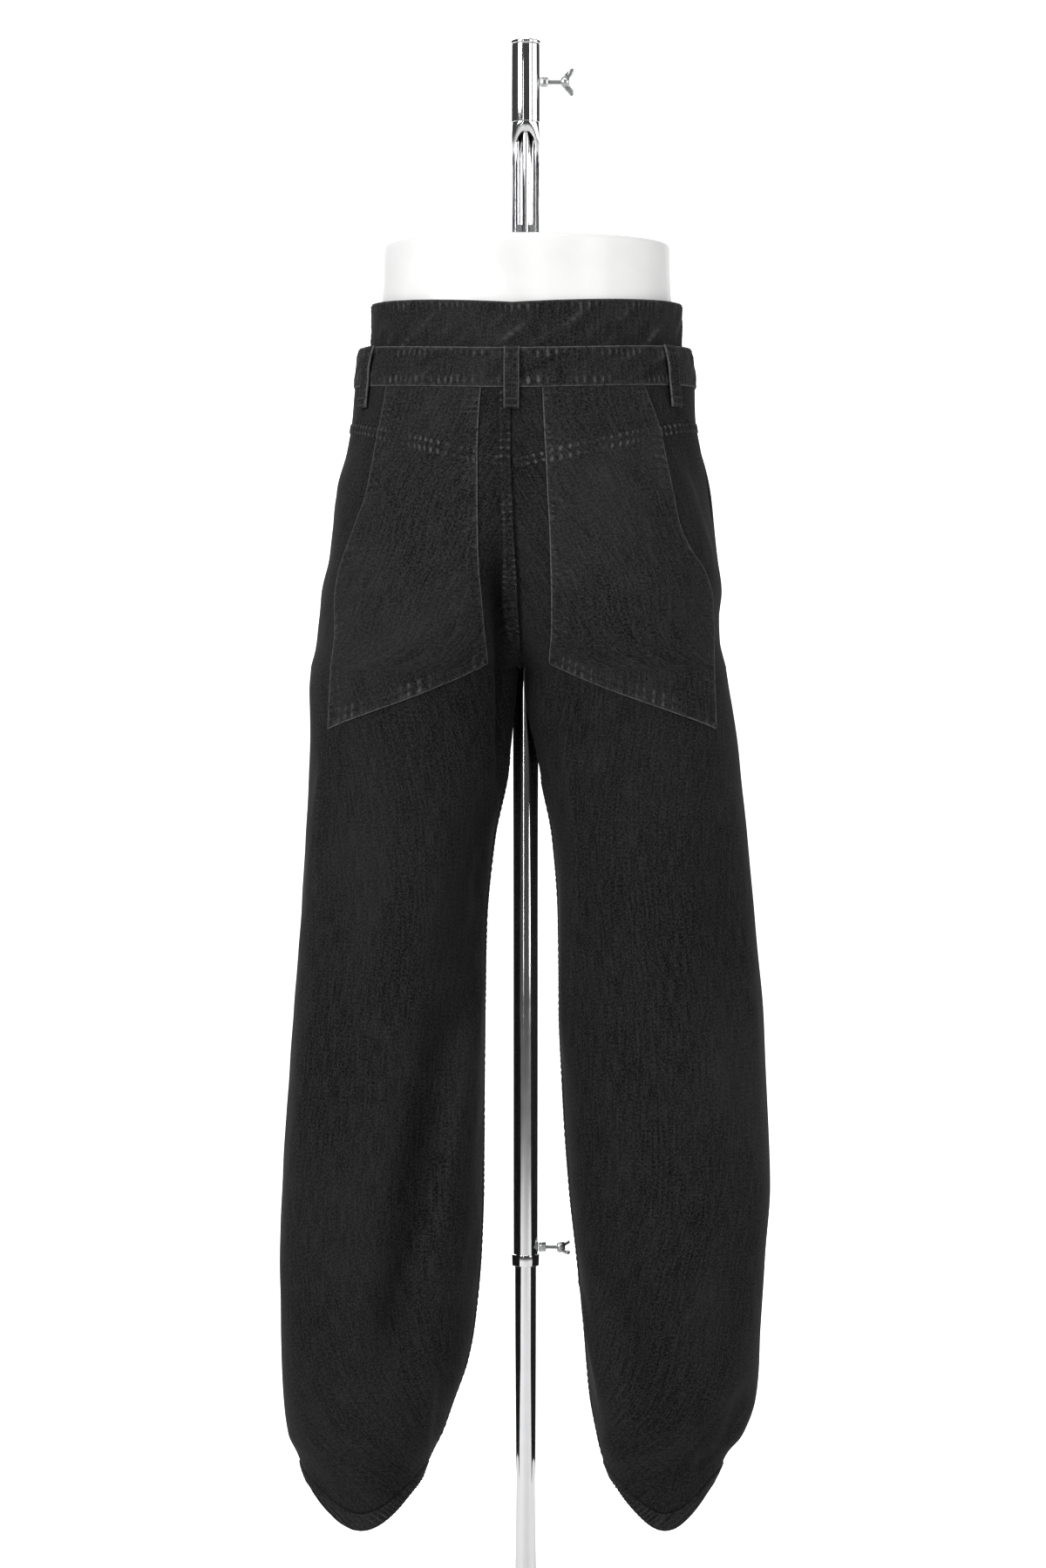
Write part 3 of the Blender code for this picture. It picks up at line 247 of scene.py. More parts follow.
SHARE_CREASES = (  # side, three heights, three shares, half width, depth: the front and the sides
    (LEFT, (1.160, 1.080, 0.990), (0.070, 0.105, 0.170), 0.014, -0.0022),
    (RIGHT, (1.150, 1.070, 0.985), (0.080, 0.120, 0.185), 0.015, -0.0022),
    (LEFT, (0.985, 0.955, 0.925), (0.020, 0.110, 0.190), 0.010, -0.0034),
    (LEFT, (0.960, 0.925, 0.895), (0.035, 0.130, 0.210), 0.011, 0.0028),
    (RIGHT, (0.990, 0.960, 0.930), (0.020, 0.100, 0.180), 0.010, -0.0032),
    (RIGHT, (0.962, 0.930, 0.900), (0.040, 0.120, 0.200), 0.011, 0.0026),
    (LEFT, (0.860, 0.740, 0.600), (0.280, 0.250, 0.270), 0.020, 0.0034),
    (RIGHT, (0.840, 0.720, 0.580), (0.300, 0.265, 0.280), 0.022, 0.0032),
    (LEFT, (0.600, 0.545, 0.500), (0.130, 0.210, 0.290), 0.014, -0.0026),
    (RIGHT, (0.585, 0.540, 0.490), (0.150, 0.230, 0.300), 0.014, -0.0026),
    (LEFT, (0.340, 0.285, 0.235), (0.180, 0.270, 0.360), 0.014, 0.0032),
    (RIGHT, (0.345, 0.290, 0.235), (0.190, 0.280, 0.370), 0.013, 0.0030),
    (LEFT, (0.760, 0.560, 0.330), (0.560, 0.585, 0.560), 0.020, 0.0030),
    (RIGHT, (0.740, 0.560, 0.350), (0.570, 0.590, 0.570), 0.020, 0.0030),
)
RUMPLE = 0.00045
SEAM_CALM = 0.009  # creases run out this close to the centre seams and the inner legs' seams
CREASE_WEAR_AND_SHADE = 0.018  # the crease depth at which the painted shade in its hollow is full; the same scale gives ridges a slight wear
THREAD = 0.00055
STITCH_INSETS = (0.0020, 0.0085)  # two rows of stitches, from the edge they hold
BARTACK_HEIGHT = 0.0010
STRIP_PUCKER = 0.00040
HALF_ROUND = 0.45  # about one side's way round, for turning metres into shares
POCKET_WIDE, POCKET_TALL = 0.13, 0.26  # about the back pocket's size, for placing rows and edges
STITCH_PITCH = 0.0031
FELL_WIDTH = 0.0090
FELL_THICKNESS = 0.0008
CENTRE_FELL_THICKNESS = FELL_THICKNESS + 0.0009
FELL_STITCHES = (0.0016, FELL_WIDTH - 0.0014)
FORM_STEPS = 60  # round each half of the form
BOSS_STEPS = 48
BOSS_LENGTH = 0.0068
HUB_LENGTH = 0.0078
SCREW_PITCH = 0.0006


# Smooth curves through short tables, over whole arrays

def curve(rows):
    """A smooth function through (place, value) rows, held level beyond its ends."""
    x, y = (np.array(column, float) for column in zip(*sorted(rows)))
    steps = np.diff(y) / np.diff(x)
    inside = np.zeros(len(x) - 2)
    same = steps[:-1] * steps[1:] > 0
    inside[same] = 2 / (1 / steps[:-1][same] + 1 / steps[1:][same])
    slope = np.concatenate([[steps[0]], inside, [steps[-1]]])

    def value(at):
        at = np.clip(at, x[0], x[-1])
        k = np.clip(np.searchsorted(x, at) - 1, 0, len(x) - 2)
        width = x[k + 1] - x[k]
        t = (at - x[k]) / width
        return (
            (1 + 2 * t) * (1 - t) ** 2 * y[k] + t * (1 - t) ** 2 * width * slope[k]
            + t * t * (3 - 2 * t) * y[k + 1] + t * t * (t - 1) * width * slope[k + 1]
        )

    return value


def columns(names, table):
    return {name: curve([(row[0], row[k]) for row in table]) for k, name in enumerate(names)}


def ramp(t):
    t = np.clip(t, 0.0, 1.0)
    return t * t * (3 - 2 * t)


HIP, LEG = columns(HIP_COLUMNS, HIPS), columns(LEG_COLUMNS, LEGS)
BODY = {name: curve([(row[0], row[k]) for row in HIPS] + [(row[0], row[j]) for row in LEGS[1:]])
        for name, k, j in (("out_left", 2, 2), ("out_right", 3, 4), ("front", 4, 5), ("back", 5, 6))}


class Ovals:
    """One side's sections at many heights: arcs of ellipses that start and end on the centre plane."""

    def __init__(self, side, inner, outer, front, back, turn, closed, centre=CENTRE_X):
        self.side, self.centre = side, centre
        self.x, self.a = (outer + inner) / 2, (outer - inner) / 2
        self.y, self.b = (back - front) / 2, (back + front) / 2
        self.start = np.where(closed, -math.pi, -self.limit(turn, -1))
        self.end = np.where(closed, math.pi, self.limit(turn, 1))

    def limit(self, turn, way):
        lean, past = np.tan(np.radians(turn)) * self.side, 0.0 * self.a
        for _ in range(6):
            plane = self.centre * self.side + (self.y + way * self.b * np.cos(past)) * lean
            past = np.arcsin(np.clip((self.x - plane) / self.a, -1.0, 1.0))
        return math.pi / 2 + past

    def point(self, u, out=0.0):
        angle = self.start + (self.end - self.start) * u
        across, along = np.cos(angle), np.sin(angle)
        nx, ny = across / self.a, along / self.b
        long = np.hypot(nx, ny)
        x = self.x + self.a * across + nx / long * out
        return x * self.side, self.y + self.b * along + ny / long * out

    def share_at(self, x):
        angle = np.arccos(np.clip((x - self.x) / self.a, -1.0, 1.0))
        return (angle - self.start) / (self.end - self.start)

    def length(self):
        return (self.a + self.b) / 2 * (self.end - self.start)


def body_ovals(side, z):
    name = "left" if side == LEFT else "right"
    outer, front, back = BODY["out_" + name](z), BODY["front"](z), BODY["back"](z)
    plane = CENTRE_X * side
    middle = plane + HIP["share"](z) * (outer - plane)
    closed = z <= CROTCH
    inner = np.where(closed, LEG["in_" + name](z), 2 * middle - outer)
    return Ovals(side, inner, outer, front, back, HIP["turn"](z), closed)


def table_ovals(table, centre):
    shape = columns(HIP_COLUMNS, table)

    def ovals(side, z):
        outer = shape["out_left" if side == LEFT else "out_right"](z)
        plane = centre * side
        middle = plane + shape["share"](z) * (outer - plane)
        depths = shape["front"](z), shape["back"](z)
        return Ovals(side, 2 * middle - outer, outer, *depths, shape["turn"](z), z < 0, centre)

    return ovals


def fold_relief(side, u, z):
    total, length = np.zeros_like(z), body_ovals(side, z).length()
    for where, top, foot, share_top, share_foot, half_width, depth in FOLDS:
        if where != side:
            continue
        down = (top - z) / (top - foot)
        away = (u - share_top - (share_foot - share_top) * down) * length / half_width
        total += depth * np.exp(-away * away) * ramp(down / 0.3) * ramp((1 - down) / 0.3)
    return total


def pole_room(x, y, side, room):
    return np.maximum(x * side, room * (1 - (y / POLE_ROOM_DEPTH) ** 2)) * side


def body_point(side, u, z):
    x, y = body_ovals(side, z).point(u, fold_relief(side, u, z))
    return np.stack([pole_room(x, y, side, POLE_ROOM), y, z + 0 * x], axis=-1)


def waves(a, b, seed, count=5, lengths=(0.035, 0.10)):
    """Irregular soft waves over two coordinates, in metres, between -1 and 1."""
    rng = np.random.default_rng(seed)
    total = 0.0
    for _ in range(count):
        turn, length, phase = rng.uniform(0, math.pi), rng.uniform(*lengths), rng.uniform(0, 6.28)
        total = total + np.sin(2 * math.pi * (a * math.cos(turn) + b * math.sin(turn)) / length + phase)
    return total / count


def crease_relief(side, u, z):
    ovals = body_ovals(side, z)
    length, total = ovals.length(), np.zeros_like(z)
    for table, by_share in ((BACK_CREASES, False), (SHARE_CREASES, True)):
        for k, (where, heights, places, half_width, depth) in enumerate(table):
            if where != side:
                continue
            top, foot = heights[0], heights[-1]
            place = curve(list(zip(heights, places)))(z)
            middle = place if by_share else ovals.share_at(place)
            down = (top - z) / (top - foot)
            uneven = 1 + 0.25 * np.sin(9 * z / (top - foot) + k)
            away = (u - middle) * length / (half_width * (1.1 - 0.3 * np.sin(5 * down + 2 * k)))
            total += depth * uneven * np.exp(-away * away) * ramp(down / 0.35) * ramp((1 - down) / 0.35)
    return total


def relief(side, u, z):
    """What the scene adds to the CAD's skin: smaller creases and a soft unevenness."""
    length = body_ovals(side, z).length()
    closing = ramp(np.minimum(u, 1 - u) * length / SEAM_CALM)
    return closing * (crease_relief(side, u, z) + RUMPLE * waves(u * length, z, 11 + side))


def moved_out(point, side, u, z, out, room=None):
    """Points of a surface, moved out along its own normal."""
    u, z, out = (np.array(v, float) for v in np.broadcast_arrays(u, z, out))
    du, dz = 0.004, 0.0015
    low, high = z - dz, z + dz
    crosses = (low < CROTCH) & (high > CROTCH)
    high = np.where(crosses & (z < CROTCH), CROTCH - 1e-6, high)
    low = np.where(crosses & (z >= CROTCH), CROTCH + 1e-6, low)
    round_way = point(side, np.minimum(u + du, 1.0), z) - point(side, np.maximum(u - du, 0.0), z)
    normal = np.cross(round_way, point(side, u, high) - point(side, u, low)) * side
    normal /= np.linalg.norm(normal, axis=-1, keepdims=True)
    moved = point(side, u, z) + normal * out[..., None]
    if room:
        moved[..., 0] = pole_room(moved[..., 0], moved[..., 1], side, room)
    return moved


def skin(side, u, z, out=0.0):
    """Points on the cloth's outer face, moved out by this much."""
    u, z, out = (np.array(v, float) for v in np.broadcast_arrays(u, z, out))
    return moved_out(body_point, side, u, z, out + relief(side, u, z), POLE_ROOM - 0.0018)


upper_ovals = table_ovals(UPPER_BAND, CENTRE_X)


def upper_point(side, u, z):
    x, y = upper_ovals(side, z).point(u)
    return np.stack([x, y, z + 0 * x], axis=-1)


def spread(side, z):
    shares = np.linspace(1.0, 0.0, 241)
    x, y = body_ovals(side, np.full(241, float(z))).point(shares)
    return shares, np.concatenate([[0.0], np.cumsum(np.hypot(np.diff(x), np.diff(y)))])


def share_from_back(side, z, distance):
    shares, distances = spread(side, z)
    return np.interp(distance, distances, shares)


def share_from_front(side, z, distance):
    shares, distances = spread(side, z)
    return np.interp(distances[-1] - distance, distances, shares)


# Seam lines

def back_to_side(u):
    return ramp((1 - u) / (1 - SIDE_SEAM))


def band_seam(u):
    return BAND_SEAM_BACK + (BAND_SEAM_SIDE - BAND_SEAM_BACK) * back_to_side(u)


def yoke_seam(u):
    away = np.minimum((1 - u) / (1 - SIDE_SEAM), 1.0)
    return YOKE_BACK + (YOKE_SIDE - YOKE_BACK) * np.sin(away * math.pi / 2) ** 1.1


def hem_edge(u):
    swing = np.sin(2 * math.pi * (u - 0.5))
    return HEM_SIDE - np.where(u > 0.5, HEM_DROP_BACK, HEM_DROP_FRONT) * swing * swing


def hem_top(u):
    return hem_edge(u) + HEM_HEIGHT


def slant(side, z):
    up = (z - FRONT_POCKET_FOOT) / (BAND_SEAM_SIDE - FRONT_POCKET_FOOT)
    return SIDE_SEAM - FRONT_POCKET_WIDTH * np.clip(up, 0.0, 1.05) / body_ovals(side, z).length()


POCKET_OUTLINE = columns(POCKET_COLUMNS, POCKET)


def pocket_edges(side, z):
    name, level = "left" if side == LEFT else "right", np.maximum(z, POCKET_FOOT_OUTER)
    ovals = body_ovals(side, level)
    return [ovals.share_at(POCKET_OUTLINE[f"{edge}_{name}"](level)) for edge in ("outer", "inner")]


def puckers(s, seed=0.0):
    """How a sewn edge draws up along itself: short uneven waves between -1 and 1."""
    return np.sin(2 * math.pi * s / 0.0061 + 1.5 * np.sin(2 * math.pi * s / 0.043 + seed) + seed) * (
        0.65 + 0.35 * np.sin(2 * math.pi * s / 0.057 + 2 * seed))


# Meshes

def linked(name, data=None):
    made = bpy.data.objects.new(name, data)
    bpy.context.scene.collection.objects.link(made)
    return made


def mesh_of(name, points, faces):
    data = bpy.data.meshes.new(name)
    data.from_pydata([tuple(p) for p in points], [], faces)
    return data


def face_outwards(data):
    mesh = bmesh.new()
    mesh.from_mesh(data)
    bmesh.ops.recalc_face_normals(mesh, faces=mesh.faces)
    mesh.to_mesh(data)
    mesh.free()


def ring_faces(count, pairs, base=0):
    """Faces between rings of this many points, for each pair of rings."""
    return [(base + a * count + c, base + a * count + (c + 1) % count, base + b * count + (c + 1) % count,
             base + b * count + c) for a, b in pairs for c in range(count)]


def end_faces(count, last, base=0):
    """The faces that close the first and the last ring."""
    return [tuple(range(base, base + count)), tuple(range(base + last * count, base + (last + 1) * count))]


def stacked(*values):
    return np.stack(np.broadcast_arrays(*values), axis=-1)


def running(points):
    """How far along its line each point lies."""
    return np.concatenate([[0.0], np.cumsum(np.linalg.norm(np.diff(points, axis=0), axis=1))])


def finish_piece(name, data, material, body="carrier", slot=None):
    data.materials.append(material)
    data.shade_smooth()
    data.set_sharp_from_angle(angle=math.radians(48))
    piece = linked(name, data)
    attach(piece, body)
    return piece


def shell(name, outer, inner, material, seam, uv, closed=False, slot="denim", crest=None):
    """A thin closed shell between two grids of points. Seam, uv and crest are per point, for the material."""
    rows, cols = outer.shape[:2]
    index = np.arange(rows * cols).reshape(rows, cols)
    ring = np.concatenate([index, index[:, :1]], axis=1) if closed else index
    a, b, c, d = ring[:-1, :-1], ring[:-1, 1:], ring[1:, 1:], ring[1:, :-1]
    face = np.stack([a, b, c, d], axis=-1).reshape(-1, 4)
    shift = rows * cols
    faces = [face, face[:, ::-1] + shift]
    for edge in (ring[0], ring[-1]) + (() if closed else (index[:, 0], index[:, -1])):
        faces.append(np.stack([edge[:-1], edge[1:], edge[1:] + shift, edge[:-1] + shift], axis=-1))
    points = np.concatenate([outer.reshape(-1, 3), inner.reshape(-1, 3)])
    data = mesh_of(name, points.tolist(), np.concatenate(faces).tolist())
    face_outwards(data)
    attribute = data.attributes.new("seam", "FLOAT_VECTOR", "POINT")
    attribute.data.foreach_set("vector", np.tile(seam.reshape(-1, 3), (2, 1)).astype(np.float32).ravel())
    attribute = data.attributes.new("crest", "FLOAT", "POINT")
    crest = np.zeros(rows * cols) if crest is None else crest.reshape(-1)
    attribute.data.foreach_set("value", np.tile(crest, 2).astype(np.float32))
    layer = data.uv_layers.new(name="cloth")
    corners = np.zeros(len(data.loops), np.int32)
    data.loops.foreach_get("vertex_index", corners)
    layer.data.foreach_set("uv", np.tile(uv.reshape(-1, 2), (2, 1))[corners].astype(np.float32).ravel())
    return finish_piece(name, data, material, slot=slot)


def seam_of(*candidates):
    """The nearest seam's (along, distance, strength) at each point. Each candidate is such a row."""
    flat = np.broadcast_arrays(*[value for candidate in candidates for value in candidate])
    along, away, strength = (np.stack(flat[k::3]) for k in range(3))
    nearest = away.argmin(axis=0)[None]
    return np.stack([np.take_along_axis(part, nearest, 0)[0] for part in (along, away, strength)], axis=-1)


def panel(name, side, u, z, outs, material, seam, closed=False, slot="denim", crest=None):
    """A shell on the skin between two distances from it."""
    length = body_ovals(side, z).length()
    uv = stacked(u * length + side * 0.7, z)
    rise = fold_relief(side, u, z) + crease_relief(side, u, z)
    # Below zero this is painted shade in the hollows of creases and folds, above zero a slight wear on their
    # ridges
    worn = np.clip(rise / CREASE_WEAR_AND_SHADE, -1.0, 0.12)
    crest = worn if crest is None else np.clip(crest + worn, -1.0, 1.0)
    outer, inner = (skin(side, u, z, out) for out in outs)
    return shell(name, outer, inner, material, seam, uv, closed, slot, crest)


def edged(count, length, rims=(0.0007, 0.0020)):
    """Fractions from 0 to 1 with extra places close to both ends."""
    close = [rim / length for rim in rims]
    inside = np.linspace(0, 1, count + 1)[1:-1]
    return np.array([0.0, *close, *inside, *[1 - c for c in reversed(close)], 1.0])


# Materials

def new_material(name):
    material = bpy.data.materials.new(name)
    material.use_nodes = True
    tree = material.node_tree
    return material, tree, tree.nodes["Principled BSDF"]


def fixed(shader, **values):
    """Sets sockets to values that are the same all over the surface."""
    for key, value in values.items():
        shader.inputs[key.replace("_", " ")].default_value = value


def node(tree, kind, settings=None, **inputs):
    """A shader node. Inputs are numbers, tuples or other nodes' outputs, by socket name or number."""
    made = tree.nodes.new("ShaderNode" + kind)
    for key, value in (settings or {}).items():
        setattr(made, key, value)
    for key, value in inputs.items():
        numbered = key[0] == "i" and key[1:].isdigit()
        socket = made.inputs[int(key[1:]) if numbered else key.replace("_", " ")]
        if isinstance(value, bpy.types.NodeSocket):
            tree.links.new(value, socket)
        else:
            socket.default_value = value
    return made


def scaled(tree, vector, by):
    return node(tree, "VectorMath", {"operation": "MULTIPLY"}, i0=vector, i1=by).outputs[0]


def noise(tree, vector, detail=1.0, rough=0.5):
    made = node(tree, "TexNoise", None, Vector=vector, Scale=1.0, Detail=detail, Roughness=rough)
    return made.outputs["Fac"]


def mapped(tree, value, low, high, to_low=0.0, to_high=1.0):
    """The value moved smoothly from one range to another."""
    settings = {"interpolation_type": "SMOOTHSTEP"}
    ranges = {"From_Min": low, "From_Max": high, "To_Min": to_low, "To_Max": to_high}
    return node(tree, "MapRange", settings, Value=value, **ranges).outputs[0]


def math_node(tree, operation, a, b=0.0):
    return node(tree, "Math", {"operation": operation}, i0=a, i1=b).outputs[0]


def mixed(tree, factor, a, b):
    made = node(tree, "Mix", {"data_type": "RGBA"})
    for socket, value in ((made.inputs[0], factor), (made.inputs[6], a), (made.inputs[7], b)):
        if isinstance(value, bpy.types.NodeSocket):
            tree.links.new(value, socket)
        else:
            socket.default_value = value
    return made.outputs[2]


def grey(value):
    return (value, value, value, 1)


def denim(name, dark, light, worn):
    """Black twill: fine heather, painted shade in hollows and between puckers, rubbed lighter on ridges,
    puckers and folded edges.
    """
    material, tree, shader = new_material(name)

    def times(a, b):
        return math_node(tree, "MULTIPLY", a, b)

    def most(a, b):
        return math_node(tree, "MAXIMUM", a, b)

    def spots(vector, size, *detail):
        return noise(tree, scaled(tree, vector, size), *detail)

    uv = node(tree, "UVMap", {"uv_map": "cloth"}).outputs[0]
    seam = node(tree, "Attribute", {"attribute_name": "seam"}).outputs["Vector"]
    crest = node(tree, "Attribute", {"attribute_name": "crest"}).outputs["Fac"]
    _, away, strength = node(tree, "SeparateXYZ", None, Vector=seam).outputs
    fine = spots(uv, (950.0, 850.0, 1.0), 2.0, 0.7)
    coarse = spots(uv, (560.0, 440.0, 1.0), 2.0, 0.6)
    streaks = spots(uv, (420.0, 44.0, 1.0), 2.0, 0.5)
    broad = spots(uv, (13.0, 6.0, 1.0), 3.0, 0.55)
    tone = math_node(tree, "ADD", times(fine, 0.42), times(coarse, 0.38))
    tone = math_node(tree, "ADD", tone, times(streaks, 0.20))
    cloth = mixed(tree, mapped(tree, tone, 0.40, 0.62), grey(dark), grey(light))
    cloth = mixed(tree, mapped(tree, broad, 0.35, 0.75, 0.0, 0.30), cloth, grey(light * 1.15))
    # Painted shade: the colour goes darker where the crest is below zero, in creases, fold valleys, between
    # puckers and drags and above the hem
    cloth = mixed(tree, mapped(tree, crest, -1.0, 0.0, 0.75, 0.0), cloth, grey(dark * 0.3))
    near = mapped(tree, away, 0.0, 0.014, 1.0, 0.0)
    pucker = times(times(spots(seam, (150.0, 22.0, 0.0), 1.0), near), strength)
    rubbed = spots(seam, (260.0, 300.0, 0.0), 2.0)
    ribs = mapped(tree, crest, 0.0, 0.5)
    whole = most(ribs, mapped(tree, strength, 0.85, 1.0))
    edge = times(mapped(tree, away, 0.0005, 0.0013, 0.95, 0.0), whole)
    edge = times(edge, mapped(tree, rubbed, 0.30, 0.55, 0.25, 1.0))
    edge = times(edge, mapped(tree, strength, 0.60, 0.80))
    raised = times(mapped(tree, crest, 0.05, 0.60), mapped(tree, rubbed, 0.30, 0.62, 0.40, 0.90))
    ripple = times(mapped(tree, pucker, 0.44, 0.68), 0.28)
    wear = most(edge, most(ripple, raised))
    cloth = mixed(tree, wear, cloth, grey(worn))
    tree.links.new(cloth, shader.inputs["Base Color"])
    low = node(tree, "Bump", None, Strength=0.5, Distance=0.0003, Height=fine).outputs[0]
    high = node(tree, "Bump", None, Strength=0.85, Distance=0.0030, Height=pucker, Normal=low).outputs[0]
    tree.links.new(high, shader.inputs["Normal"])
    fixed(shader, Roughness=0.92, Specular_IOR_Level=0.04, Sheen_Weight=0.03, Sheen_Roughness=0.5,
          Sheen_Tint=(0.90, 0.88, 0.85, 1))
    return material


def plain(name, colour, roughness, metallic=0.0, scale=300.0, bump=0.0, spread=0.0, coat=0.0):
    """A smooth finish with a faint unevenness in its gloss and its surface."""
    material, tree, shader = new_material(name)
    place = node(tree, "TexCoord").outputs["Object"]
    uneven = noise(tree, scaled(tree, place, (scale, scale, scale)), 3.0)
    lively = mixed(tree, uneven, (*[c * 0.93 for c in colour], 1), (*[min(c * 1.05, 1.0) for c in colour], 1))
    tree.links.new(lively, shader.inputs["Base Color"])
    gloss = mapped(tree, uneven, 0.3, 0.7, roughness - spread, roughness + spread)
    tree.links.new(gloss, shader.inputs["Roughness"])
    if bump:
        rough = node(tree, "Bump", None, Strength=0.4, Distance=bump, Height=uneven)
        tree.links.new(rough.outputs[0], shader.inputs["Normal"])
    fixed(shader, Metallic=metallic, Coat_Weight=coat)
    return material


DENIM = denim("washed_black_denim", 0.0018, 0.0250, 0.082)
POCKET_DENIM = denim("washed_black_denim_pockets", 0.0026, 0.0310, 0.086)
BAND_DENIM = denim("washed_black_denim_bands", 0.0030, 0.0310, 0.086)
INSIDE = denim("denim_inside", 0.008, 0.034, 0.060)
THREAD_LOOK = plain("dark_thread", (0.014, 0.014, 0.014), 0.70, scale=2500.0, bump=0.0001, spread=0.08)
CHROME = plain("polished_chrome", (0.80, 0.80, 0.81), 0.09, 1.0, scale=60.0, spread=0.015)
ZINC = plain("zinc_plate", (0.50, 0.51, 0.51), 0.34, 1.0, scale=700.0, bump=0.0001, spread=0.06)
BUTTON = plain("dark_nickel", (0.13, 0.13, 0.135), 0.33, 1.0, scale=900.0, bump=0.0001, spread=0.05)
WHITE = plain("satin_white", (0.75, 0.75, 0.745), 0.42, 0.0, scale=35.0, bump=0.00015, spread=0.04, coat=0.15)


# Sewing

threads = []


def sew(side, u, z, out, point=skin, pitch=STITCH_PITCH, length=0.0024, width=THREAD):
    """Stitches along a line on the cloth, this far out of it."""
    here, above = point(side, u, z, out), point(side, u, z, out + 0.001)
    place = running(here)
    at = np.arange(pitch / 2, place[-1], pitch)
    rows = [np.stack([np.interp(where, place, values[:, k]) for k in range(3)], axis=-1)
            for values, where in ((here, at), (here, at + 0.0004), ((above - here) * 1000, at))]
    tangent = rows[1] - rows[0]
    good = np.linalg.norm(tangent, axis=1) > 1e-7
    tangent = tangent[good] / np.linalg.norm(tangent[good], axis=1, keepdims=True)
    threads.append((rows[0][good], tangent, rows[2][good], length, width))


def thread_piece(name):
    """Makes one piece of all the stitches so far: a six-sided spindle for each."""
    points, faces = [], []
    for centres, tangents, normals, length, width in threads:
        sideways = np.cross(normals, tangents)
        for centre, along, up, across in zip(centres, tangents, normals, sideways):
            start = len(points)
            points.append(centre - along * length / 2 - up * 0.00008)
            points.append(centre + along * length / 2 - up * 0.00008)
            for k in range(6):
                turn = math.pi * k / 3
                rise = 0.00008 + math.sin(turn) * width * 0.34
                points.append(centre + across * math.cos(turn) * width / 2 + up * rise)
            for k in range(6):
                a, b = start + 2 + k, start + 2 + (k + 1) % 6
                faces.append((start, b, a))
                faces.append((start + 1, a, b))
    threads.clear()
    return finish_piece(name, mesh_of(name, points, faces), THREAD_LOOK)


def beside(side, u, z, offset):
    """A line on the cloth, moved sideways by this many metres towards its left as it runs."""
    length = body_ovals(side, z).length()
    du, dz = np.gradient(u) * length, np.gradient(z)
    long = np.hypot(du, dz)
    return np.clip(u - dz / long * offset / length, 0.0, 1.0), z + du / long * offset


def bartack(side, u, z, out, across):
    """A short dense bar of stitches, level, this wide."""
    length = float(body_ovals(side, np.array([float(z)])).length()[0])
    us = np.linspace(u - across / 2 / length, u + across / 2 / length, 12)
    for shift in (-BARTACK_HEIGHT / 2, BARTACK_HEIGHT / 2):
        sew(side, us, np.full(12, z + shift), out, pitch=0.0006, length=0.0013, width=0.00065)


RIM = np.array([0.0, 0.07, 0.20, 0.35, 0.5, 0.65, 0.80, 0.93, 1.0])
RIM_HEIGHT = np.array([0.10, 0.72, 1.0, 1.0, 1.0, 1.0, 1.0, 0.72, 0.10])


def strip(name, side, u, z, width, thick, seed=0.0, wear=0.9):
    """A raised band of doubled cloth along a line, to the line's left, drawn up by its stitches."""
    place = running(skin(side, u, z))
    grid_u, grid_z, outs, crests = [], [], [], []
    for part, height in zip(RIM, RIM_HEIGHT):
        a, b = beside(side, u, z, width * part)
        drawn = puckers(place, seed + 0.6 * part)
        rows = math.exp(-((part - 0.18) / 0.20) ** 2) + math.exp(-((part - 0.84) / 0.16) ** 2)
        grid_u.append(a)
        grid_z.append(b)
        outs.append(height * (thick + STRIP_PUCKER * drawn))
        # Crest: the pucker tops are rubbed lighter and the troughs between them get painted shade; wear
        # scales both
        crests.append(drawn * rows * wear)
    grid_u, grid_z, outs, crests = np.array(grid_u), np.array(grid_z), np.array(outs), np.array(crests)
    seam = stacked(place, (width * np.minimum(RIM, 1 - RIM))[:, None], 0.84)
    uv = stacked(grid_u * body_ovals(side, grid_z).length() + side * 0.7, grid_z)
    outer = skin(side, grid_u, grid_z, outs + 0.00006)
    return shell(name, outer, skin(side, grid_u, grid_z, 0.00003), DENIM, seam, uv, crest=crests)


# The leg panels and yokes

def between(top, foot, parts):
    return np.array([top + (foot - top) * t for t in parts])


def hem_shade(z, foot):
    """Painted shade: the dark line where a leg runs into its proud hem."""
    return -0.7 * (1 - ramp((z - foot) / 0.004))


def panel_rows(top, foot, above, below):
    """Heights of a panel's rows: from its top seam down to the crotch's level, and from there to the hem."""
    return np.concatenate([between(top, CROTCH, np.linspace(0, 1, above + 1)),
                           between(CROTCH, foot, np.linspace(0, 1, below + 1)[1:])])


def leg_back(name, side):
    u = np.linspace(SIDE_SEAM, 1.0, 96)
    gap = SEAM_GAP / 2 / HALF_ROUND
    u[0], u[-1] = u[0] + gap, u[-1] - gap
    top, foot = yoke_seam(u) - SEAM_GAP / 2, hem_top(u) + SEAM_GAP / 2
    z = panel_rows(top, foot, 62, 196)
    u = np.broadcast_to(u, z.shape)
    length = body_ovals(side, z).length()
    seam = seam_of((u * length, top - z, 0.6), (z, (1 - u) * length, 0.6),
                   (z + 0.5, (u - SIDE_SEAM) * length, 0.5), (u * length, z - foot, 0.6))
    return panel(f"cloth_back_{name}", side, u, z, (0.0, -CLOTH), DENIM, seam, crest=hem_shade(z, foot))


def yoke(name, side):
    u = np.linspace(SIDE_SEAM + 0.0004, 1.0 - 0.0004, 96)
    top, foot = band_seam(u) - SEAM_GAP / 2, yoke_seam(u) + SEAM_GAP / 2
    z = between(top, foot, np.linspace(0, 1, 20))
    u = np.broadcast_to(u, z.shape)
    length = body_ovals(side, z).length()
    seam = seam_of((u * length, top - z, 0.6), (u * length, z - foot, 0.8), (z, (1 - u) * length, 0.6),
                   (z + 0.5, (u - SIDE_SEAM) * length, 0.5))
    return panel(f"cloth_yoke_{name}", side, u, z, (0.0, -CLOTH), DENIM, seam)


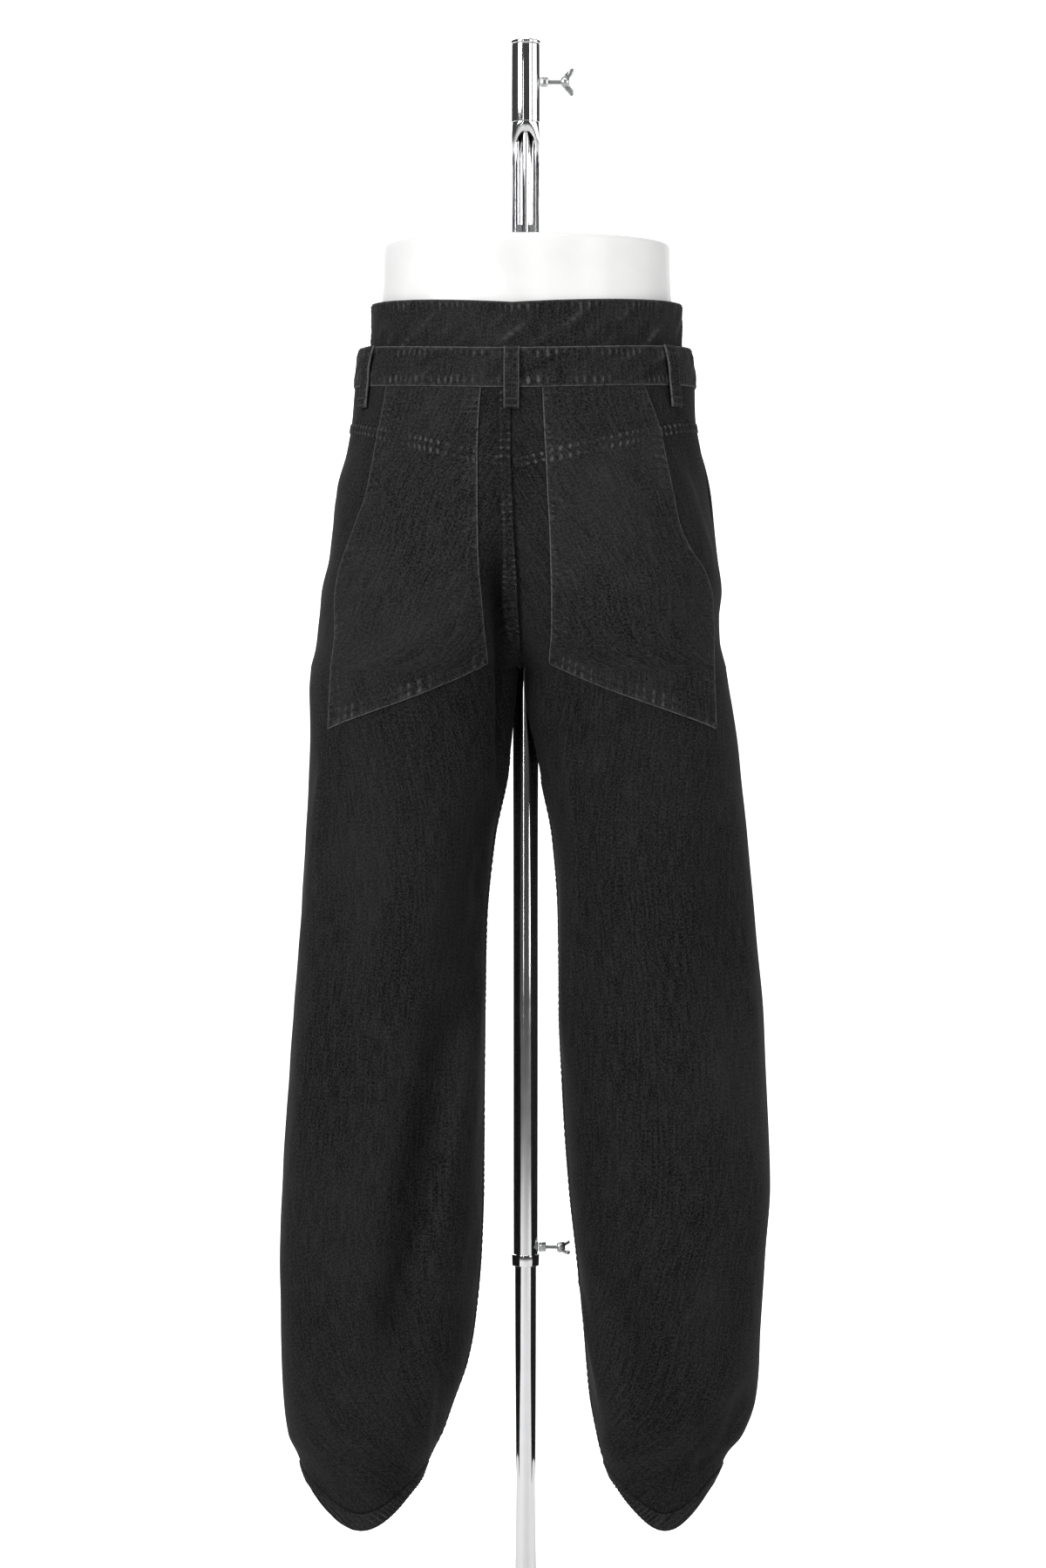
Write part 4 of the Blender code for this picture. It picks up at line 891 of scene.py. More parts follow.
def front_gape(side, u, z):
    up = np.clip((z - FRONT_POCKET_FOOT) / (BAND_SEAM_SIDE - FRONT_POCKET_FOOT), 0.0, 1.0)
    away = (slant(side, z) - u) * body_ovals(side, z).length()
    return FRONT_POCKET_GAPE * np.sin(math.pi * up) ** 2 * ramp(1 - away / GAPE_WIDTH)


def leg_front(name, side):
    share = np.linspace(0.0, 1.0, 84)
    rough = share * SIDE_SEAM
    top, foot = band_seam(rough) - SEAM_GAP / 2, hem_top(rough) + SEAM_GAP / 2
    z = panel_rows(top, foot, 78, 190)
    gap = SEAM_GAP / 2 / HALF_ROUND
    edge = slant(side, z) - gap
    u = gap + (edge - gap) * share[None]
    length = body_ovals(side, z).length()
    pocket = 0.5 + 0.45 * ((z > FRONT_POCKET_FOOT) + 0.0)
    seam = seam_of((u * length, top - z, 0.6), (z, u * length, 0.6), (z + 0.5, (edge - u) * length, pocket),
                   (u * length, z - foot, 0.6))
    gape = front_gape(side, u, z)
    outs = (gape, gape - CLOTH)
    return panel(f"cloth_front_{name}", side, u, z, outs, DENIM, seam, crest=hem_shade(z, foot))


def facing(name, side):
    z = np.linspace(BAND_SEAM_SIDE - 0.001, FRONT_POCKET_FOOT - 0.012, 50)[:, None]
    length = body_ovals(side, z).length()
    near, far = slant(side, z) - FACING_UNDERLAP / length, SIDE_SEAM - SEAM_GAP / 2 / length
    u = near + (far - near) * np.linspace(0, 1, 22)[None]
    z = np.broadcast_to(z, u.shape)
    away = (SIDE_SEAM - u) * body_ovals(LEFT, z).length()
    sink = -FACING_DEPTH * np.where(z > FRONT_POCKET_FOOT + 0.03, ramp(away / 0.012), 1.0)
    seam = seam_of((z, (far - u) * length, 0.6))
    return panel(f"cloth_facing_{name}", side, u, z, (sink, sink - CLOTH), INSIDE, seam, slot="denim_inside")


def pocket_grid(side, across, down):
    """Shares and heights of the back pocket's points, edge to edge."""
    foot = POCKET_FOOT_OUTER + (POCKET_FOOT_INNER - POCKET_FOOT_OUTER) * across
    foot = foot - 0.0030 * np.sin(math.pi * across)
    z = np.broadcast_to(foot, (len(down), len(across))).copy()
    u = z * 0 + 0.75
    for _ in range(4):
        outer, inner = pocket_edges(side, z)
        u = outer + (inner - outer) * across[None]
        top = band_seam(u) - SEAM_GAP / 2 - 0.0004
        z = top + (foot[None] - top) * down[:, None]
    return u, z


def pocket_out(u, z, across):
    """How far the pocket stands out: its open edge gapes, and the yoke's felled seam shows through it."""
    up = np.clip((z - POCKET_OPENING_FOOT) / (BAND_SEAM_SIDE - POCKET_OPENING_FOOT), 0.0, 1.0)
    gape = POCKET_GAPE * ramp(1 - across * 2.8) * np.sin(math.pi * up) ** 2
    below = yoke_seam(u) - z
    ghost = 0.0007 * ramp(below / 0.002) * ramp((FELL_WIDTH + 0.001 - below) / 0.002)
    return gape + ghost


def back_pocket(name, side):
    across, down = edged(76, POCKET_WIDE), edged(160, POCKET_TALL)
    u, z = pocket_grid(side, across, down)
    flat = pocket_out(u, z, across[None])
    wide = POCKET_WIDE - 0.03 * (1 - down[:, None])
    away_foot = np.broadcast_to((1 - down[:, None]) * POCKET_TALL, z.shape)
    distance = np.minimum(np.minimum((1 - across[None]) * wide, across[None] * wide), away_foot)
    at_foot = distance == away_foot
    s = np.where(at_foot, across[None] * POCKET_WIDE + 0.4, down[:, None] * POCKET_TALL)
    hem_band = 0.00035 * ramp((0.0105 - distance) / 0.0015)
    rim = puckers(s, 2.0 + side) * (
        np.exp(-((distance - 0.0035) / 0.0026) ** 2) + 0.8 * np.exp(-((distance - 0.0105) / 0.0030) ** 2))
    below = yoke_seam(u) - z
    shown = puckers(u * HALF_ROUND, 1.0 + side) * (
        np.exp(-((below - 0.0010) / 0.0020) ** 2) + np.exp(-((below - FELL_WIDTH) / 0.0024) ** 2))
    folded = -0.0004 * (1 - ramp(distance / 0.0012))
    out = SEAM_GAP + PATCH + flat + hem_band + 0.00034 * rim + 0.00030 * shown + folded
    seam = stacked(s, distance, 1.0)
    middle = 0.75 + 0.25 * ramp((across[None] - 0.35) / 0.4)
    # Crest: the tops of the puckers and of the felled seam showing through are rubbed lighter, and the
    # troughs between the puckers get painted shade
    crest = np.maximum(np.where(at_foot, 0.62, 0.40) * rim, 0.95 * middle * shown)
    panel(f"cloth_pocket_{name}", side, u, z, (out, SEAM_GAP + flat), POCKET_DENIM, seam, crest=crest)
    top_out = SEAM_GAP + PATCH + 0.00035
    for inset in STITCH_INSETS:
        part, low = inset / 0.125, 1 - inset / POCKET_TALL
        ups = np.linspace(0.004, low, 150)
        for edge in (part, 1 - part):
            a, b = pocket_grid(side, np.array([edge]), ups)
            sew(side, a[:, 0], b[:, 0], top_out + pocket_out(a, b, edge)[:, 0])
        a, b = pocket_grid(side, np.linspace(part, 1 - part, 90), np.array([low]))
        sew(side, a[0], b[0], top_out)
    for edge in (0.03, 0.97):
        a, b = pocket_grid(side, np.array([edge]), np.array([0.02 if edge > 0.5 else 0.62]))
        bartack(side, a[0, 0], b[0, 0], top_out + 0.0003, 0.006)


def placket():
    down, across = edged(60, BAND_SEAM_BACK - FLY_FOOT), edged(14, FLY_WIDTH)
    z = (band_seam(0.0) - 0.0006 + (FLY_FOOT - band_seam(0.0)) * down)[:, None]
    up = np.clip((z - FLY_FOOT) / FLY_CORNER, 0.0, 1.0)
    width = FLY_WIDTH * (FLY_FOOT_SHARE + (1 - FLY_FOOT_SHARE) * np.sqrt(1 - (1 - up) ** 2))
    edge = np.array([[share_from_front(LEFT, h, w)] for (h,), (w,) in zip(z, width)])
    u = 0.0006 + (edge - 0.0006) * across[None]
    z = np.broadcast_to(z, u.shape)
    distance = np.minimum(across[None], 1 - across[None]) * width
    out = SEAM_GAP + PATCH + 0.0002 * puckers(z, 1.0) * np.exp(-((distance - 0.002) / 0.004) ** 2)
    seam = stacked(z, distance, 1.0)
    panel("cloth_fly_placket", LEFT, u, z, (out, SEAM_GAP), DENIM, seam)
    for inset in (0.0025, 0.0085):
        part = 1 - inset / FLY_WIDTH
        sew(LEFT, u[:, 0] + (u[:, -1] - u[:, 0]) * part, z[:, 0], SEAM_GAP + PATCH)
    bartack(LEFT, 0.012, FLY_FOOT + 0.003, SEAM_GAP + PATCH + 0.0002, 0.008)


def hem(name, side):
    u = np.linspace(0.0, 1.0, 400, endpoint=False)
    down = edged(9, HEM_HEIGHT)
    top = hem_top(u) - SEAM_GAP / 2
    z = between(top, hem_edge(u), down)
    u = np.broadcast_to(u, z.shape)
    length = body_ovals(side, z).length()
    distance = (HEM_HEIGHT * np.minimum(down, 1 - down))[:, None] + 0 * z
    s = u * length
    roping = puckers(s * 0.75 + 0.5 * (z - z.min()), 3.0 + side)
    roping = roping * np.exp(-((distance - 0.0060) / 0.0055) ** 2)
    out = HEM_PROUD + 0.0005 + 0.0010 * roping - 0.0011 * (1 - ramp(distance / 0.0020))
    seam = stacked(s, distance, 0.60 + 0.22 * (down > 0.5)[:, None])
    # The crest rubs the rope tops lighter and puts painted shade in the troughs between them
    panel(f"cloth_hem_{name}", side, u, z, (out, HEM_PROUD - HEM), BAND_DENIM, seam, closed=True,
          crest=0.06 + 0.40 * roping)
    around = np.linspace(0, 1, 420)
    sew(side, around, hem_top(around) - 0.0028, HEM_PROUD)


def fell(name, side, u, z, thick=FELL_THICKNESS, **look):
    """A felled seam: its raised band and its two rows of stitches."""
    strip(name, side, u, z, FELL_WIDTH, thick, **look)
    for offset in FELL_STITCHES:
        sew(side, *beside(side, u, z, offset), thick)


def fells(name, side):
    """Felled seams under the yoke and down the inner leg."""
    outer = pocket_edges(side, np.array([YOKE_BACK + 0.03]))[0][0]
    inner = pocket_edges(side, np.array([YOKE_BACK]))[1][0]
    for part, start, end in (("side", SIDE_SEAM + 0.002, outer - 0.004), ("middle", inner + 0.002, 0.999)):
        u = np.linspace(end, start, max(int((end - start) * HALF_ROUND / 0.0014), 8))
        fell(f"cloth_fell_yoke_{part}_{name}", side, u, yoke_seam(u) - 0.0002, seed=side + (part == "side"))
    heights = np.linspace(hem_top(1.0) + 0.001, CROTCH - 0.004, 480)
    fell(f"cloth_fell_inner_{name}", side, np.full(480, 0.9995), heights, seed=4.0 + side, wear=0.5)


def centre_fell():
    heights = np.linspace(CROTCH + 0.002, BAND_SEAM_BACK - 0.0006, 190)
    u = np.full(190, 0.9994)
    fell("cloth_fell_centre_back", LEFT, u, heights, CENTRE_FELL_THICKNESS, seed=6.0, wear=0.55)


# The waistbands and their loops

def ring_path(count):
    half = count // 2
    return [(LEFT, k / half) for k in range(half + 1)] + [(RIGHT, 1 - k / half) for k in range(1, half + 1)]


LAP_SHARES = (0.075, 0.0575, 0.040, 0.020)
BAND_STEPS = 640


def band(name, point, levels, outs, lap_outwards, seed):
    """A waistband: a strip once round, whose left end laps over its right end at the centre front."""
    step = outs[0] - outs[1] + SEAM_GAP
    path = [(RIGHT, u, True) for u in LAP_SHARES] + [(side, u, False) for side, u in ring_path(BAND_STEPS)]
    path[-1] = (RIGHT, 0.0008, False)
    tall = float(levels(0.0, 0.7) - levels(1.0, 0.7))
    down = edged(14, tall, (0.0006, 0.0018))
    side = np.array([p[0] for p in path])
    u = np.array([p[1] for p in path])
    lapped = np.array([p[2] for p in path])
    if lap_outwards:
        lift = np.where(lapped, step, step * ramp(1 - u / 0.09) * (side == LEFT))
    else:
        lift = -step * ramp((0.16 - u) / 0.08) * ((side == RIGHT) & ~lapped)
    s = np.concatenate([[0.0], np.cumsum(np.full(len(path) - 1, 0.92 / BAND_STEPS))])
    distance = tall * np.minimum(down, 1 - down)
    grids, crests = [[], []], []
    for part, away in zip(down, distance):
        z = levels(part, u)
        rows = puckers(s * 0.9, seed + 1.5 * part) * math.exp(-((away - 0.0055) / 0.0040) ** 2)
        drags = waves(s - 1.9 * z, 0.30 * (s + z), int(10 * seed), 5, (0.016, 0.040))
        drags = np.sign(drags) * np.abs(drags) ** 1.4 * 1.6
        soft = waves(s, z, 31, lengths=(0.02, 0.07))
        folded = -0.0006 * (1 - ramp(away / 0.0018))
        out = outs[0] + 0.00034 * rows + 0.0011 * drags * ramp(away / 0.008) + 0.0004 * soft + folded
        # Crest: pucker and drag tops are rubbed lighter, and their troughs get painted shade
        crests.append(0.56 * rows + 0.30 * drags * ramp(away / 0.008))
        for grid, out in zip(grids, (out, outs[1] + 0 * s)):
            row = np.zeros((len(path), 3))
            for way in (LEFT, RIGHT):
                here = side == way
                row[here] = moved_out(point, way, u[here], z[here], (out + lift)[here])
            grid.append(row)
    seam = stacked(s, distance[:, None], 1.0)
    uv = stacked(s, (tall * (1 - down))[:, None])
    shell(name, np.array(grids[0]), np.array(grids[1]), BAND_DENIM, seam, uv, crest=np.array(crests))
    for offset in (0.0018, tall - 0.0018):
        part = offset / tall
        if not lap_outwards and offset > tall / 2:
            continue
        for way in (LEFT, RIGHT):
            us = np.linspace(0.002, 1.0, 330)
            over = step * ramp(1 - us / 0.09) * (way == LEFT) if lap_outwards else 0.0 * us
            sew(way, us, levels(part, us), outs[0] + over, lambda *at: moved_out(point, *at))


def lower_levels(part, u):
    return band_seam(u) + SEAM_GAP / 2 + LOWER_BAND_HEIGHT * (1 - part)


def upper_levels(part, u):
    swing = np.sin(np.minimum((1 - u) / (1 - SIDE_SEAM), 1.0) * math.pi / 2)
    top = UPPER_BAND_TOP_BACK + (UPPER_BAND_TOP_SIDE - UPPER_BAND_TOP_BACK) * swing
    return top + (UPPER_BAND_FOOT - top) * part


def bare_skin(side, u, z, out):
    return moved_out(body_point, side, u, z, out)


def belt_loops():
    stands = curve(LOOP_STANDS)
    for name, at_top, at_foot in LOOP_PLACES:
        side = LEFT if at_top >= 0 else RIGHT
        raised = float(band_seam(share_from_back(side, BAND_SEAM_BACK, abs(at_top))) - BAND_SEAM_BACK)
        heights = np.linspace(LOOP_STANDS[0][0], LOOP_FOOT, 60)

        def shares_at(hs, aside):
            down = (LOOP_STANDS[0][0] - hs) / (LOOP_STANDS[0][0] - LOOP_FOOT)
            places = at_top + (at_foot - at_top) * down + aside
            way = LEFT if at_top + aside >= 0 else RIGHT
            return way, np.array([share_from_back(way, h + raised, abs(p)) for h, p in zip(hs, places)])

        grids = [[], []]
        for part, rim in zip(RIM, RIM_HEIGHT):
            way, u = shares_at(heights, LOOP_WIDTH * (part - 0.5))
            ends = ramp(np.minimum(heights[0] - heights, heights - heights[-1]) / 0.0015 + 0.25)
            folded = 0.0007 * ramp((LOOP_FOOT + 0.009 - heights) / 0.0012)
            wavy = 0.00022 * puckers(heights, at_top * 40) * (1 - 2 * abs(part - 0.5)) + folded
            base = stands(heights)
            thick = (LOOP_THICKNESS + wavy) * (0.35 + 0.65 * rim) * ends
            for grid, out in zip(grids, (base + thick, base)):
                grid.append(bare_skin(way, u, heights + raised, out))
        seam = stacked(heights, (LOOP_WIDTH * np.minimum(RIM, 1 - RIM))[:, None], 1.0)
        uv = stacked((RIM * LOOP_WIDTH + at_top)[:, None], heights)
        shell(f"cloth_belt_loop_{name}", np.array(grids[0]), np.array(grids[1]), BAND_DENIM, seam, uv)
        for edge in (-0.0048, 0.0048):
            way, u = shares_at(heights, edge)
            sew(way, u, heights + raised, stands(heights) + LOOP_THICKNESS + 0.0001, bare_skin)
        for height in (LOOP_STANDS[0][0] - 0.0022, LOOP_FOOT + 0.0085, LOOP_FOOT + 0.0022):
            for place in np.linspace(-0.0055, 0.0055, 19):
                way, u = shares_at(np.full(4, height), place)
                z = height + raised + np.linspace(-0.0009, 0.0009, 4)
                out = float(stands(np.array(height))) + LOOP_THICKNESS + 0.0008
                sew(way, u, z, out, bare_skin, pitch=0.0009, length=0.0016, width=0.0006)


# Turned metal, the form and the stand

def turned_mesh(profile, segments=96, loop=False):
    """Points and faces of a solid of revolution about Z, from (radius, height) rows."""
    turns = np.arange(segments) * 2 * math.pi / segments
    points = [(r * math.cos(t), r * math.sin(t), z) for r, z in profile for t in turns]
    pairs = [(k, k + 1) for k in range(len(profile) - 1)] + ([(len(profile) - 1, 0)] if loop else [])
    faces = ring_faces(segments, pairs) + ([] if loop else end_faces(segments, len(profile) - 1))
    return points, faces


def prism(outline, levels, place):
    """Points and faces of a prism. place(across, along, level) gives each point of its two outlines."""
    count = len(outline)
    points = [place(a, b, level) for level in levels for a, b in outline]
    return points, end_faces(count, 1) + ring_faces(count, [(0, 1)])


def solid(name, points, faces, material, place=None, body="carrier", slot=None):
    data = mesh_of(name, points, faces)
    if place is not None:
        data.transform(place)
    face_outwards(data)
    return finish_piece(name, data, material, body, slot)


def turned(name, profile, material, segments=96, loop=False, place=None, body="carrier", slot="tube"):
    return solid(name, *turned_mesh(profile, segments, loop), material, place, body, slot)


def rounded(profile, radius=0.0005, steps=3, loop=False):
    """The profile with its corners rounded."""
    count = len(profile)
    made = []
    for k, corner in enumerate(profile):
        if not loop and k in (0, count - 1):
            made.append(corner)
            continue
        before, after = Vector(profile[k - 1]), Vector(profile[(k + 1) % count])
        corner = Vector(corner)
        r = min(radius, (before - corner).length * 0.45, (after - corner).length * 0.45)
        a, b = corner + (before - corner).normalized() * r, corner + (after - corner).normalized() * r
        for step in range(steps + 1):
            t = step / steps
            made.append(tuple(a * (1 - t) ** 2 + corner * 2 * t * (1 - t) + b * t * t))
    return made


def hip_form():
    ovals = table_ovals(FORM, 0.0)
    levels = [(FORM_TOP - down, inwards) for down, inwards in FORM_RIM]
    levels += [(h, 0.0) for h in (*np.linspace(1.312, 1.02, 48), *np.linspace(1.015, 0.9575, 14))]
    share = np.linspace(0, 1, FORM_STEPS, endpoint=False)
    rings = []
    for height, inwards in levels:
        heights = np.full(FORM_STEPS, height)
        halves = []
        for side, us in ((LEFT, share), (RIGHT, 1 - share)):
            x, y = ovals(side, heights).point(us, -inwards)
            furrow = 0.0020 * np.exp(-(x / 0.012) ** 2) * (y > 0)
            halves.append(np.stack([x, y - furrow, heights], axis=-1))
        rings.append(np.concatenate(halves))
    last = rings[-1][:, :2]
    unit = last / np.linalg.norm(last, axis=1, keepdims=True)
    radius = OUTER_POLE + SEAM_GAP
    for height, grow in ((0.9563, 0.5), (0.9560, 0.0), (OUTER_POLE_TOP + SEAM_GAP, 0.0)):
        flat = unit * radius * (1 - grow) + last * grow
        rings.append(np.concatenate([flat, np.full((2 * FORM_STEPS, 1), height)], axis=1))
    last_ring, around = len(rings) - 1, 2 * FORM_STEPS
    faces = ring_faces(around, [(k, k + 1) for k in range(last_ring)]) + end_faces(around, last_ring)
    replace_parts(solid("white_form", np.concatenate(rings), faces, WHITE, slot="form"), "hip_form")


def tubes():
    outer = ((OUTER_POLE, COLLAR_FOOT), (OUTER_POLE, OUTER_POLE_TOP), (OUTER_POLE_BORE, OUTER_POLE_TOP),
             (OUTER_POLE_BORE, COLLAR_FOOT))
    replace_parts(turned("tube_outer", outer, CHROME, loop=True), "pole_outer")
    ring = ((COLLAR, COLLAR_FOOT), (COLLAR, COLLAR_TOP), (OUTER_POLE + SEAM_GAP, COLLAR_TOP),
            (OUTER_POLE + SEAM_GAP, COLLAR_FOOT))
    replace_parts(turned("tube_collar", rounded(ring, BEVEL, loop=True), CHROME, loop=True), "pole_collar")
    inner = ((INNER_POLE, 0.004 + SEAM_GAP), (INNER_POLE, INNER_POLE_TOP))
    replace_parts(turned("tube_inner", inner, CHROME, body="base"), "pole_inner")
    plate = ((BASE_RADIUS - 0.003, 0.0), (BASE_RADIUS, 0.003), (BASE_RADIUS, 0.007),
             (BASE_RADIUS - 0.004, 0.010), (0.045, 0.0135), (0.026, 0.016), (0.0195, 0.022),
             (0.0185, 0.042), (0.0165, 0.045),
             (INNER_POLE + SEAM_GAP, 0.045), (INNER_POLE + SEAM_GAP, 0.004), (0.0015, 0.004))
    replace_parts(turned("round_base", rounded(plate, 0.0035, 4), CHROME, 160, body="base"), "base_plate")


def post():
    foot, top = FORM_TOP + SEAM_GAP, SLEEVE_FOOT - SEAM_GAP
    wall = ((POST, foot), (POST, top), (POST_BORE, top), (POST_BORE, foot))
    tube = turned("post_scooped", wall, CHROME, 128, True)
    arch = [(SCOOP_WIDTH * math.sin(turn) ** 0.8, SCOOP_TOP - SCOOP_HEIGHT * (1 - math.cos(turn)))
            for turn in (math.pi / 2 * k / 24 for k in range(24, 0, -1))]
    arch = [(SCOOP_WIDTH, foot - 0.01)] + arch
    outline = arch + [(0.0, SCOOP_TOP)] + [(-x, z) for x, z in reversed(arch)]
    cutter = solid("scoop_shape", *prism(outline, (0.0007, 0.03), lambda x, z, y: (x, y, z)), CHROME)
    modifier = tube.modifiers.new("scoop", "BOOLEAN")
    modifier.operation, modifier.solver, modifier.object = "DIFFERENCE", "EXACT", cutter
    data = bpy.data.meshes.new_from_object(tube.evaluated_get(bpy.context.evaluated_depsgraph_get()))
    tube.modifiers.clear()
    tube.data = data
    bpy.data.objects.remove(cutter)
    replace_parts(tube, "post_tube")
    rod_at = Matrix.Translation((0.0, ROD_Y, 0.0))
    rod = [(0.0002, foot + 0.0020), (0.0014, foot + 0.0024), (0.0026, foot + 0.0036), (ROD, foot + 0.0056),
           (ROD, top)]
    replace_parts(turned("post_round_rod", rod, CHROME, 48, place=rod_at), "post_rod")
    cheek, slot, back, lip = 0.0085, ROD + SEAM_GAP, ROD + 0.003, ROD - 0.0005
    bend = [(slot * math.cos(t), slot * math.sin(t)) for t in (math.pi * (1 + k / 10) for k in range(11))]
    turns = (math.pi * (1 + k / 10) for k in range(10, -1, -1))
    outside = [(math.copysign(cheek, math.cos(t)) * abs(math.cos(t)) ** 0.45, -back * abs(math.sin(t)) ** 0.6)
               for t in turns]
    channel = [(-cheek, lip), (-slot, lip)] + bend + [(slot, lip), (cheek, lip)] + outside
    shape = prism(channel, (foot, foot + CLIP_HEIGHT), lambda x, y, z: (x, y, z))
    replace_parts(solid("rod_holder", *shape, ZINC, rod_at, slot="screw"), "rod_clip")
    sleeve = rounded([(0.002, SLEEVE_FOOT), (SLEEVE, SLEEVE_FOOT), (SLEEVE, SLEEVE_TOP), (0.002, SLEEVE_TOP)])
    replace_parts(turned("top_sleeve", sleeve, CHROME), "post_sleeve")
    cap = [(0.002, SLEEVE_TOP + SEAM_GAP), (CAP, SLEEVE_TOP + SEAM_GAP), (CAP, SLEEVE_TOP + CAP_HEIGHT),
           (0.002, SLEEVE_TOP + CAP_HEIGHT)]
    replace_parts(turned("top_cap", rounded(cap, 0.0012, 4), CHROME), "post_cap")


WING_OUTLINE = (
    (0.0020, 0.0015), (0.0058, 0.0022), (0.0090, 0.0058), (0.0125, 0.0085),
    (0.0124, 0.0112), (0.0088, 0.0122), (0.0050, 0.0092), (0.0015, 0.0065),
)


def smooth_loop(points, steps=4):
    """A closed smooth curve through the points."""
    count, made = len(points), []
    for k in range(count):
        p0, p1, p2, p3 = (Vector(points[(k + j) % count]) for j in (-1, 0, 1, 2))
        for step in range(steps):
            t = step / steps
            made.append(0.5 * (2 * p1 + (p2 - p0) * t + (2 * p0 - 5 * p1 + 4 * p2 - p3) * t * t
                               + (3 * p1 - p0 - 3 * p2 + p3) * t ** 3))
    return made


def clamp_screw(name, height, radius, hub, wings_turned, shank):
    away = Matrix.Translation((0, 0, height)) @ Matrix.Rotation(-math.pi / 2, 4, "Y")
    start = radius + SEAM_GAP
    boss_end = start + BOSS_LENGTH
    bore = shank + SEAM_GAP
    turns = [2 * math.pi * k / BOSS_STEPS for k in range(BOSS_STEPS)]
    hexed = []
    for r, z in ((0.0040, start), (0.0046, start + 0.0005), (0.0046, boss_end - 0.0005), (0.0040, boss_end)):
        for x, y in ((r * math.cos(t), r * math.sin(t)) for t in turns):
            flat = math.cos(math.pi / 6) / math.cos((math.atan2(y, x) % (math.pi / 3)) - math.pi / 6)
            hexed.append((x * flat, y * flat, z))
    for z in (boss_end, start + 0.001):
        hexed += [(bore * math.cos(t), bore * math.sin(t), z) for t in turns]
    faces = ring_faces(BOSS_STEPS, [(k, k + 1) for k in range(5)]) + end_faces(BOSS_STEPS, 5)
    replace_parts(solid(f"hex_boss_{name}", hexed, faces, ZINC, away, slot="screw"), f"clamp_boss_{name}")
    hub_start, hub_end = start + hub, start + hub + HUB_LENGTH
    profile, z = [(0.0002, start + 0.0015)], start + 0.0016
    while z < hub_start - SCREW_PITCH:
        profile += [(shank - 0.0003, z), (shank, z + 0.0003)]
        z += SCREW_PITCH
    profile += [(shank - 0.0003, hub_start), (0.0034, hub_start), (0.0042, hub_start + 0.0005),
                (0.0052, hub_start + 0.002), (0.0051, hub_start + 0.004), (0.0048, hub_end - 0.0012),
                (0.0040, hub_end - 0.0003), (0.0028, hub_end)]
    screw = turned(f"screw_{name}", profile, ZINC, 48, place=away, body=f"screw_{name}", slot="screw")
    points, faces = [], []
    outline = smooth_loop(WING_OUTLINE, 4)
    count = len(outline)
    middle = sum(outline, Vector((0, 0))) / count
    for way in (1, -1):
        base = len(points)
        for side, shrink in ((-0.0009, 0.90), (-0.0006, 1.0), (0.0006, 1.0), (0.0009, 0.90)):
            points += [(side, way * (middle.x + (p.x - middle.x) * shrink),
                        hub_start + middle.y + (p.y - middle.y) * shrink) for p in outline]
        faces += ring_faces(count, ((0, 1), (1, 2), (2, 3)), base) + end_faces(count, 3, base)
    turn = away @ Matrix.Rotation(math.radians(wings_turned), 4, "Z")
    solid(f"screw_wings_{name}", points, faces, ZINC, turn, f"screw_{name}", "screw")
    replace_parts(screw, f"wing_screw_{name}")


def buttons():
    profile = [(0.0030, 0.0), (0.0034, 0.0012), (0.0078, 0.0014), (0.0085, 0.0024), (0.0081, 0.0034),
               (0.0070, 0.0037), (0.0064, 0.0033), (0.0052, 0.0036), (0.0030, 0.0043), (0.0008, 0.0044)]
    places = (("lower", body_ovals, LOWER_BUTTON_HEIGHT, BAND_PROUD + BAND + 2 * SEAM_GAP),
              ("upper", upper_ovals, UPPER_BUTTON_HEIGHT, 2 * SEAM_GAP))
    for name, ovals, height, out in places:
        x, y = ovals(RIGHT, np.array([height])).point(BUTTON_SHARE, out)
        place = Matrix.Translation((x[0], y[0], height)) @ Matrix.Rotation(math.pi / 2, 4, "X")
        shape = rounded(profile, 0.0004)
        made = turned(f"shank_button_{name}", shape, BUTTON, 64, place=place, slot="button")
        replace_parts(made, f"button_{name}")


# Everything in place

def dress():
    for name, side in SIDES:
        leg_back(name, side)
        leg_front(name, side)
        yoke(name, side)
        facing(name, side)
        back_pocket(name, side)
        hem(name, side)
        fells(name, side)
    thread_piece("stitching_legs")
    placket()
    centre_fell()
    for side in (LEFT, RIGHT):
        z = np.linspace(BAND_SEAM_SIDE - 0.002, FRONT_POCKET_FOOT, 120)
        for inset in STITCH_INSETS:
            u = slant(side, z) - inset / body_ovals(side, z).length()
            sew(side, u, z, front_gape(side, u, z))
    thread_piece("stitching_hips")
    band("cloth_lower_band", body_point, lower_levels, (BAND_PROUD, BAND_PROUD - BAND), True, 1.0)
    band("cloth_upper_band", upper_point, upper_levels, (0.0, -UPPER_BAND_CLOTH), False, 2.5)
    belt_loops()
    thread_piece("stitching_bands")
    pairs = [("cloth_fly_placket", "fly_placket"), ("cloth_lower_band", "waistband_lower"),
             ("cloth_upper_band", "waistband_upper")]
    pairs += [(f"cloth_belt_loop_{name}", f"belt_loop_{name}") for name, *_ in LOOP_PLACES]
    for name, _ in SIDES:
        pairs += [(f"cloth_{part}_{name}", f"{node_name}_{name}") for part, node_name in (
            ("back", "back"), ("front", "front"), ("yoke", "yoke"), ("facing", "pocket_facing"),
            ("pocket", "back_pocket"), ("hem", "hem"))]
    for piece, node_name in pairs:
        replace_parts(bpy.data.objects[piece], node_name)


